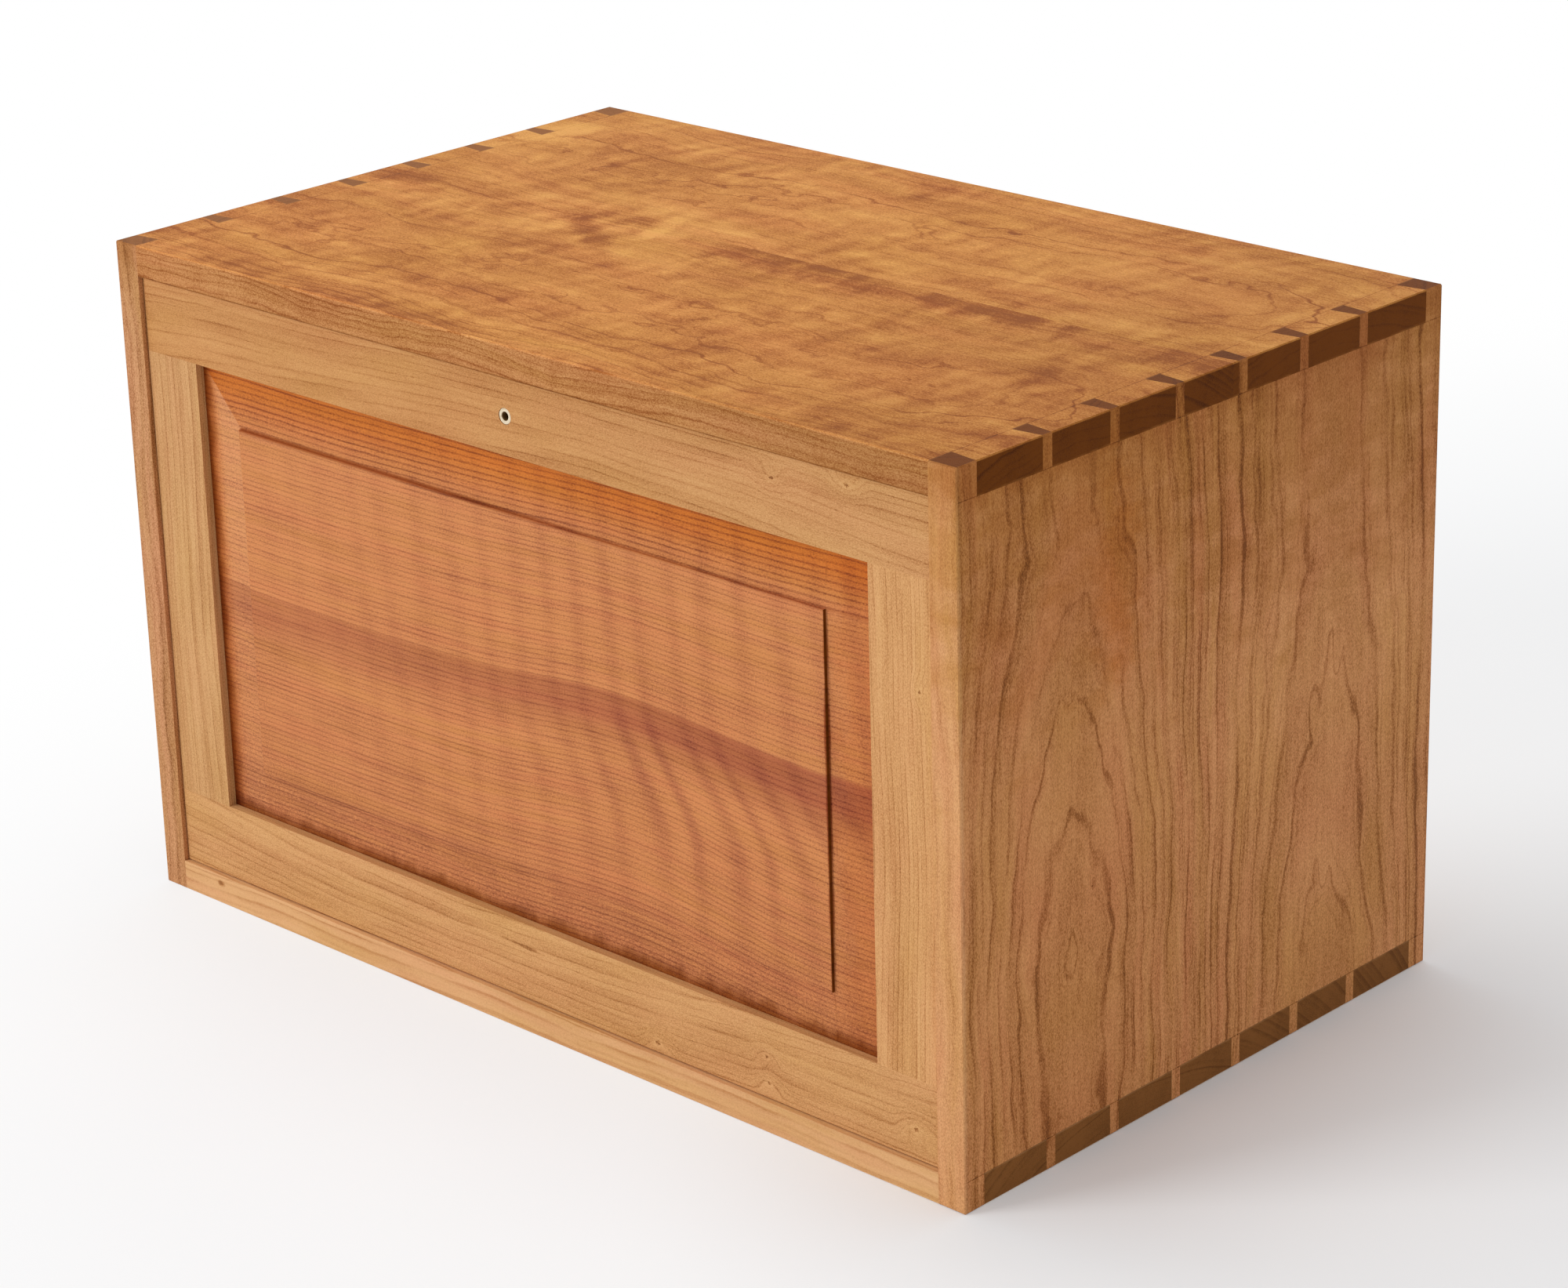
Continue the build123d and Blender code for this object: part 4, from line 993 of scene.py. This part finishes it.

# %% [markdown]
# ## The panel's own figure
#
# The softwood has straight, narrow, even rings. They climb over a swelling right of the middle, where
# curl crosses them, and a purple band follows them from side to side. Each of these is one smooth
# function of the place, so that they all move together: the band and the curl are tied to the same
# lifted level as the rings.
#
# The bevels lie so flat that light alone hardly parts them from the field. On the real panel the left
# one gleams, the top one is darker and more orange towards the top rail, with its rings broader and
# stronger because the plane cut them at a slant, and a thin shade lies over the step. Masks made from the
# distances to the field draw the stronger rings and paint the rest: a painted highlight on the left bevel,
# painted shade of the rail on the top one and painted shade over the step. They meet in a mitre as the
# bevels do.

# %% The mitres of the bevels
FIELD_LEFT, FIELD_RIGHT = float(opening_low[0] + BEVEL["side"]), float(opening_high[0] - BEVEL["side"])
FIELD_TOP = float(opening_high[1] - BEVEL["top"])


def panel_bevels(x, z):
    """How far up the top bevel; masks for the top bevel, the painted gleam on the left one and the painted
    shade over the step.
    """
    beside = (FIELD_LEFT - x) / BEVEL["side"]
    above = (z - FIELD_TOP) / BEVEL["top"]
    on_top = (above - beside).ease(-0.02, 0.02) * above.ease(-0.05, 0.05)
    gleam_mask = (beside - above).ease(-0.02, 0.02) * beside.ease(-0.02, 0.1) * beside.ease(0.85, 0.55)
    shade = (z - FIELD_TOP).size().ease(0.3, 1.8, 1, 0) * beside.ease(0.04, -0.03) * x.ease(-60, 120, 1, 0.4)
    return above.most(0), on_top, gleam_mask * z.ease(110, 300, 0.25, 1), shade


print("field: left, right and top at", round(FIELD_LEFT, 1), round(FIELD_RIGHT, 1), round(FIELD_TOP, 1))

# %% The flow of the panel
PURPLE, ROSY = (0.7, 0.53, 0.6, 1), (0.76, 0.64, 0.76, 1)
# Below: a painted highlight for the left bevel, painted shade of the top rail on the top bevel, and painted
# shade over the step.
PAINTED_GLEAM, RAIL_SHADE, SHADE = (1.08, 1.2, 1.34, 1), (0.93, 0.69, 0.27, 1), (0.6, 0.42, 0.3, 1)
PANEL_DEPTH = -180.0


def panel_flow(tree, place):
    """The rings are lifted by height(z) * e^-((x - 80) / 95)^2, and settle at another level beyond it."""
    x, z, _ = place.parts()
    bell = (((x - 80) / 95) * ((x - 80) / 95) * -1).exponent()
    lift = z.ease(215, 330, 12, 3) * z.ease(50, 150, 0.5, 1) * bell
    lift = lift + x.ease(80, 240) * z.ease(125, 215, -4, 5)
    level = z - lift
    slid = vector(tree, x + z.ease(140, 214, -17, 17) * x.ease(-50, 140, 0.1, 1) + (z - 200) * 0.06, z, 0.0)
    bars = use(figure, tree, Place=slid, Seed=77.0, Pitch=25.0, Bar=120.0, Slant=0.0, Steady=0.75)["Bars"]
    curl = bars * (x.ease(-200, 50, 0.3, 1.0) * z.ease(70, 150, 0.5, 1.0))
    strong = z.ease(215, 190) * z.ease(110, 150) * x.ease(35, 95) * x.ease(225, 180)
    band = level.ease(197.5, 200.5, 1, 0) * level.ease(163, 190)
    low = level.ease(90, 98, 1, 0) * 0.1 + z.ease(190, 110) * 0.04
    climbed, on_top, gleam_mask, shade = panel_bevels(x, z)
    start = band * 0.03 + low + curl * (strong * 0.02 + 0.035) + BODY
    # The orange tinge, which grows towards the top rail on the top bevel, is painted shade of the rail.
    return (lift * -1 - climbed * 5, start, on_top * 0.6 + 1, 1.0,
            (band * x.ease(-120, 225, 0.5, 1.0), PURPLE), ((curl * (strong * 0.34 + 0.22)).most(0), ROSY),
            (gleam_mask, PAINTED_GLEAM), (on_top * z.ease(285, 317), RAIL_SHADE), (shade, SHADE))


PANEL_WASHES = marks(
    PANEL_DEPTH,
    (-250, 190, 17, 900, 0, (0.82, 0.62, 0.38, 1), 0.0),  # shade of the frame along the left edge
    (-247, 190, 9, 900, 0, (0.5, 0.36, 0.2, 1)),
    (0, 60, 900, 10, 0, (0.5, 0.36, 0.2, 1)),  # and along the bottom edge
    (238, 190, 24, 900, 0, (0.94, 0.84, 0.72, 1)),  # painted shade on the right bevel, which faces away from the lamps
    (FIELD_RIGHT, 190, 1.2, 125, 0, (0.5, 0.3, 0.16, 1)),  # the shaded side of the step
)
board_finish(
    "front_panel", "XZY", "panel softwood", (0.0, -800.0, -180.0), 51.0, piece=raised_panel, flow=panel_flow,
    growth=dict(Ring=2.8, Thick=1.6, Lean=0.0, LeanBack=0.0, Sway=1.0, Kink=0.8, Uneven=0.15, Fade=0.3),
    curls=dict(CloudLength=70.0, CloudWidth=30.0), lines=0.23, fine=0.0, tones=0.02, late=0.03, clouds=0.14,
    streaks=0.2, flecks=0.95, pores=0.0, shine=0.1, washes=PANEL_WASHES)
print("nodes in the finish of the panel:", nodes_in("front_panel"))

# %% [markdown]
# ## Boards inside and behind
#
# The carcass inside is plainer stuff than the show faces: rails and runners of a quiet hard maple, drawer
# sides of the same, and thin drawer bottoms. The drawer fronts and the back are cherry again. Placing
# each grain by hand would be long work for boards that are seldom seen, so it is taken from the box
# that a board fills: it runs along the longest side, and the heart of the tree lies a hand's breadth
# behind the broad face.

# %% A board from its own box
HEART_AWAY = np.array([-30.0, 12.0, -130.0])


def plain_board(name, wood, **look):
    """Grain along the longest side, heart HEART_AWAY from the low end of the middle, seed from the box."""
    low, high = box_mm(name)
    order = np.argsort(low - high, kind="stable")
    heart = np.array([low[order[0]], *((low + high) / 2)[order[1:]]]) + HEART_AWAY
    seed = float(round(np.abs(low).sum() % 97))
    board_finish(name, "".join(AXES[axis] for axis in order), wood, heart, seed, **look)


MAPLE = dict(wood="pale maple", growth=dict(Ring=2.6, Thick=0.9, Lean=0.02, LeanBack=0.01, Kink=1.2),
             lines=0.2, streaks=0.16, tints=0.4, flecks=0.35,
             ends=(card(206, 160, 104), card(158, 108, 64)))
INNER_KINDS = ("runner", "centre_guide", "drawer_stops", "divider", "top_rail", "bottom_rail", "front_stop")
inner = [name for name in nodes if name.startswith(INNER_KINDS)]
for name in inner:
    plain_board(name, **MAPLE)
print("boards of the carcass:", len(inner))

# %% The drawers
DRAWERS = ("left_drawer", "right_drawer", "middle_drawer", "deep_drawer")
for drawer in DRAWERS:
    plain_board(drawer + "_front", "frame cherry", lines=0.3, clouds=0.2, bars=0.05, streaks=0.24, flecks=0.5,
                growth=dict(Ring=3.4, Thick=1.1, Lean=0.03, LeanBack=0.03, Kink=2.0))
    for part in ("_back", "_side_left", "_side_right", "_bottom"):
        plain_board(drawer + part, **MAPLE)
print("drawers finished:", len(DRAWERS))

# %% The framed back and the pegs
BACK_FRAME = ("back_rail_top", "back_rail_bottom", "back_stile_left", "back_stile_right")
for name in BACK_FRAME:
    plain_board(name, "frame cherry", growth=dict(Ring=1.6, Thick=0.7, Kink=1.0), lines=0.26, clouds=0.16)
plain_board("back_panel", "side cherry", lines=0.3, clouds=0.2, streaks=0.3,
            growth=dict(Ring=4.0, Thick=1.5, Lean=0.04, LeanBack=0.03, Kink=2.4, Point=16.0))
plain_board("locating_pegs", **MAPLE)
print("boards of the back:", len(BACK_FRAME) + 1)

# %% [markdown]
# ## Turned pieces
#
# A knob comes off the lathe, and so does the light wooden ring that is let into the rail round the
# keyhole. Blender's Screw modifier could turn an outline, but a plain function keeps the formula in
# sight: a half outline of arcs and short lines is carried round an axis, as often as there are knobs
# on the drawer.


# %% Outlines carried round an axis
def arc(middle, radius, start, end, count=9):
    """Points on a circle from one angle to another, in degrees: middle + radius (cos a, sin a)."""
    angle = np.radians(np.linspace(start, end, count))
    return np.stack([middle[0] + radius * np.cos(angle), middle[1] + radius * np.sin(angle)], -1)


def turned(name, outline, places, body, hollow=False, steps=72):
    """Rows of (radius, height) carried round axes towards the front: (r cos a, -height, r sin a)."""
    angle = np.linspace(0, 2 * math.pi, steps, endpoint=False)
    radius, height = np.asarray(outline, float).T[:, :, None]
    one = np.stack([radius * np.cos(angle), -height + 0 * angle, radius * np.sin(angle)], -1).reshape(-1, 3)
    first, last = np.arange(steps), len(one) - steps + np.arange(steps)
    faces = list(ring_faces(len(outline), steps))
    if hollow:
        faces += list(np.stack([last, np.roll(last, -1), np.roll(first, -1), first], -1))
    else:
        faces += [first[::-1], last]
    copies = [face + k * len(one) for k in range(len(places)) for face in faces]
    return new_piece(name, np.concatenate([one + place for place in places]) * MM, copies, body, 40)


print("points of a quarter circle:", len(arc((0, 0), 1, 0, 90)))

# %% The shape of a knob
TENON_RADIUS = 3.0


def knob_outline(tenon):
    """From the tenon: foot, hollow waist, bead, quirk, swelling rim, domed face with a small dimple."""
    dome = arc((0.0, -10.6), 22.05, 75.0, 89.0, 12)
    return np.concatenate([
        [(0.1, -tenon), (TENON_RADIUS - 0.4, -tenon), (TENON_RADIUS, 0.4 - tenon), (TENON_RADIUS, -0.02)],
        [(4.6, 0.0)], arc((5.9, 2.1), 2.3, 240.0, 132.0), [(4.9, 4.25), (5.15, 4.45), (5.0, 4.8)],
        arc((5.2, 7.3), 2.25, 262.0, 352.0, 12), arc((5.35, 8.4), 2.0, -12.0, 66.0, 9),
        dome[dome[:, 0] < 5.9], [(0.5, 11.36), (0.1, 11.25)],
    ])


face_y = box_mm("deep_drawer_front")[0][1]
tenon = box_mm("deep_drawer_knobs")[1][1] - face_y
print("outline points of a knob:", len(knob_outline(tenon)))

# %% The knobs on their drawers
END_TO_AXIS = 7.5  # from an end of the node's box to the axis of the knob there


def places_on(node, count):
    """One knob stands in the middle of the node's box, two stand at its ends, all at middle height."""
    low, high = box_mm(node)
    middle = (low + high) / 2
    axes = [middle[0]] if count == 1 else [low[0] + END_TO_AXIS, high[0] - END_TO_AXIS]
    return [np.array([x, face_y, middle[2]]) for x in axes]


for drawer in DRAWERS:
    count = 1 if drawer + "_knob" in nodes else 2
    ending = "_knob" if count == 1 else "_knobs"
    places = places_on(drawer + ending, count)
    knobs = turned(drawer + "_turned" + ending, knob_outline(tenon), places, drawer)
    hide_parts(drawer + ending)
    board_finish(drawer + ending, "YXZ", "turned cherry", (0.0, places[0][0] + 14.0, 60.0), 61.0 + count,
                 growth=dict(Ring=1.9, Thick=0.8), lines=0.34, flecks=0.4, rough=0.36, shine=0.3, piece=knobs)
    print(knobs.name, "at x =", [round(float(place[0]), 1) for place in places], "mm")

# %% The ring round the keyhole
BORE_RADIUS, RING_PLAY = 2.15, 0.02
low, high = box_mm("keyhole_ring")
outer = (high[0] - low[0]) / 2 - RING_PLAY
length = high[1] - low[1]
outline = np.concatenate([
    [(outer, -length)], arc((outer - 0.5, -0.65), 0.5, 0.0, 80.0, 6),
    arc((BORE_RADIUS + 0.9, -0.95), 0.9, 95.0, 180.0, 9), [(BORE_RADIUS, -length)]])
seat = np.array([0.0, low[1], (low[2] + high[2]) / 2])
keyhole_inlay = turned("keyhole_inlay", outline, [seat], "front", hollow=True)
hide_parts("keyhole_ring")
board_finish("keyhole_ring", "YXZ", "boxwood", (0.0, 6.0, 330.0), 71.0, piece=keyhole_inlay, lines=0.1,
             growth=dict(Ring=1.0, Thick=0.4), ends=(card(240, 224, 196), card(218, 198, 164)),
             washes=[((0, 0, 350), (900, 900, 900), 0, (0.22, 0.17, 0.11, 1), 0.0)])
print("ring:", round(2 * outer, 1), "mm wide, bore", 2 * BORE_RADIUS)

# %% [markdown]
# ## Lock and screws
#
# The lock is folded and filed brass, the screws and the arbor are steel. Metal is all reflection: its
# colour goes to the mirror light, so a flat yellow never reads as brass. What does is the fine brushing,
# some brown in the sheltered places and brighter edges where hands and the bolt rub. The fibres of the
# wood finish, squeezed and stretched, make the brushing, and its worn edges serve here too.

# %% Brass and steel
METALS = {
    "brass": (card(222, 184, 108), card(150, 108, 52), card(244, 216, 150), 0.3),
    "steel": (card(166, 164, 160), card(96, 90, 84), card(214, 214, 212), 0.34),
    "black steel": (card(58, 54, 50), card(34, 30, 28), card(104, 100, 96), 0.5),
}
BRUSHED_RELIEF = 0.06 * MM


def metal_finish(name, metal):
    """Body colour, darker where it tarnished, lighter on worn edges; roughness follows the brushing."""
    body, tarnished, bright, rough = METALS[metal]
    material, tree, shader = new_material(name)
    raw, place, _ = lie_of(tree, "XZY")
    low, high = box_mm(name)
    brushed = use(fibres, tree, Place=place, Length=9.0, Width=0.18, Seed=low[0])["Fibre"]
    tarnish = cloud(vector_sum(raw, "MULTIPLY", (0.16, 0.16, 0.16)), 3.0, 0.6).ease(0.42, 0.75)
    worn = use(edges, tree, Place=raw, Low=low, High=high, Width=0.9)["Mask"]
    colour = blend_colour(tree, tarnish * 0.7 + brushed * 0.2, body, tarnished)
    feed(blend_colour(tree, worn, colour, bright), shader, "Base Color")
    feed(brushed * 0.25 + tarnish * 0.2 + (rough - 0.1), shader, "Roughness")
    feed(lay(tree, "ShaderNodeBump", 0.3, BRUSHED_RELIEF, None, brushed), shader, "Normal")
    shader.inputs["Metallic"].default_value = 1.0
    coat(nodes[name], material)


METAL_NODES = {
    "brass": ("lock_plate", "lock_cover", "lock_bolt", "strike_plate"),
    "steel": ("lock_screws", "strike_screws"),
    "black steel": ("lock_spindle",),
}
for metal, names in METAL_NODES.items():
    for name in names:
        metal_finish(name, metal)
unfinished = [name for name in nodes if name not in bpy.data.materials and not nodes[name].hide_render]
print("pieces without a finish of their own:", unfinished)

# %% [markdown]
# ## Sizes and the end
#
# The finished chest has to fill the same box as the CAD model, or the joints and the collision shapes
# would no longer fit it.
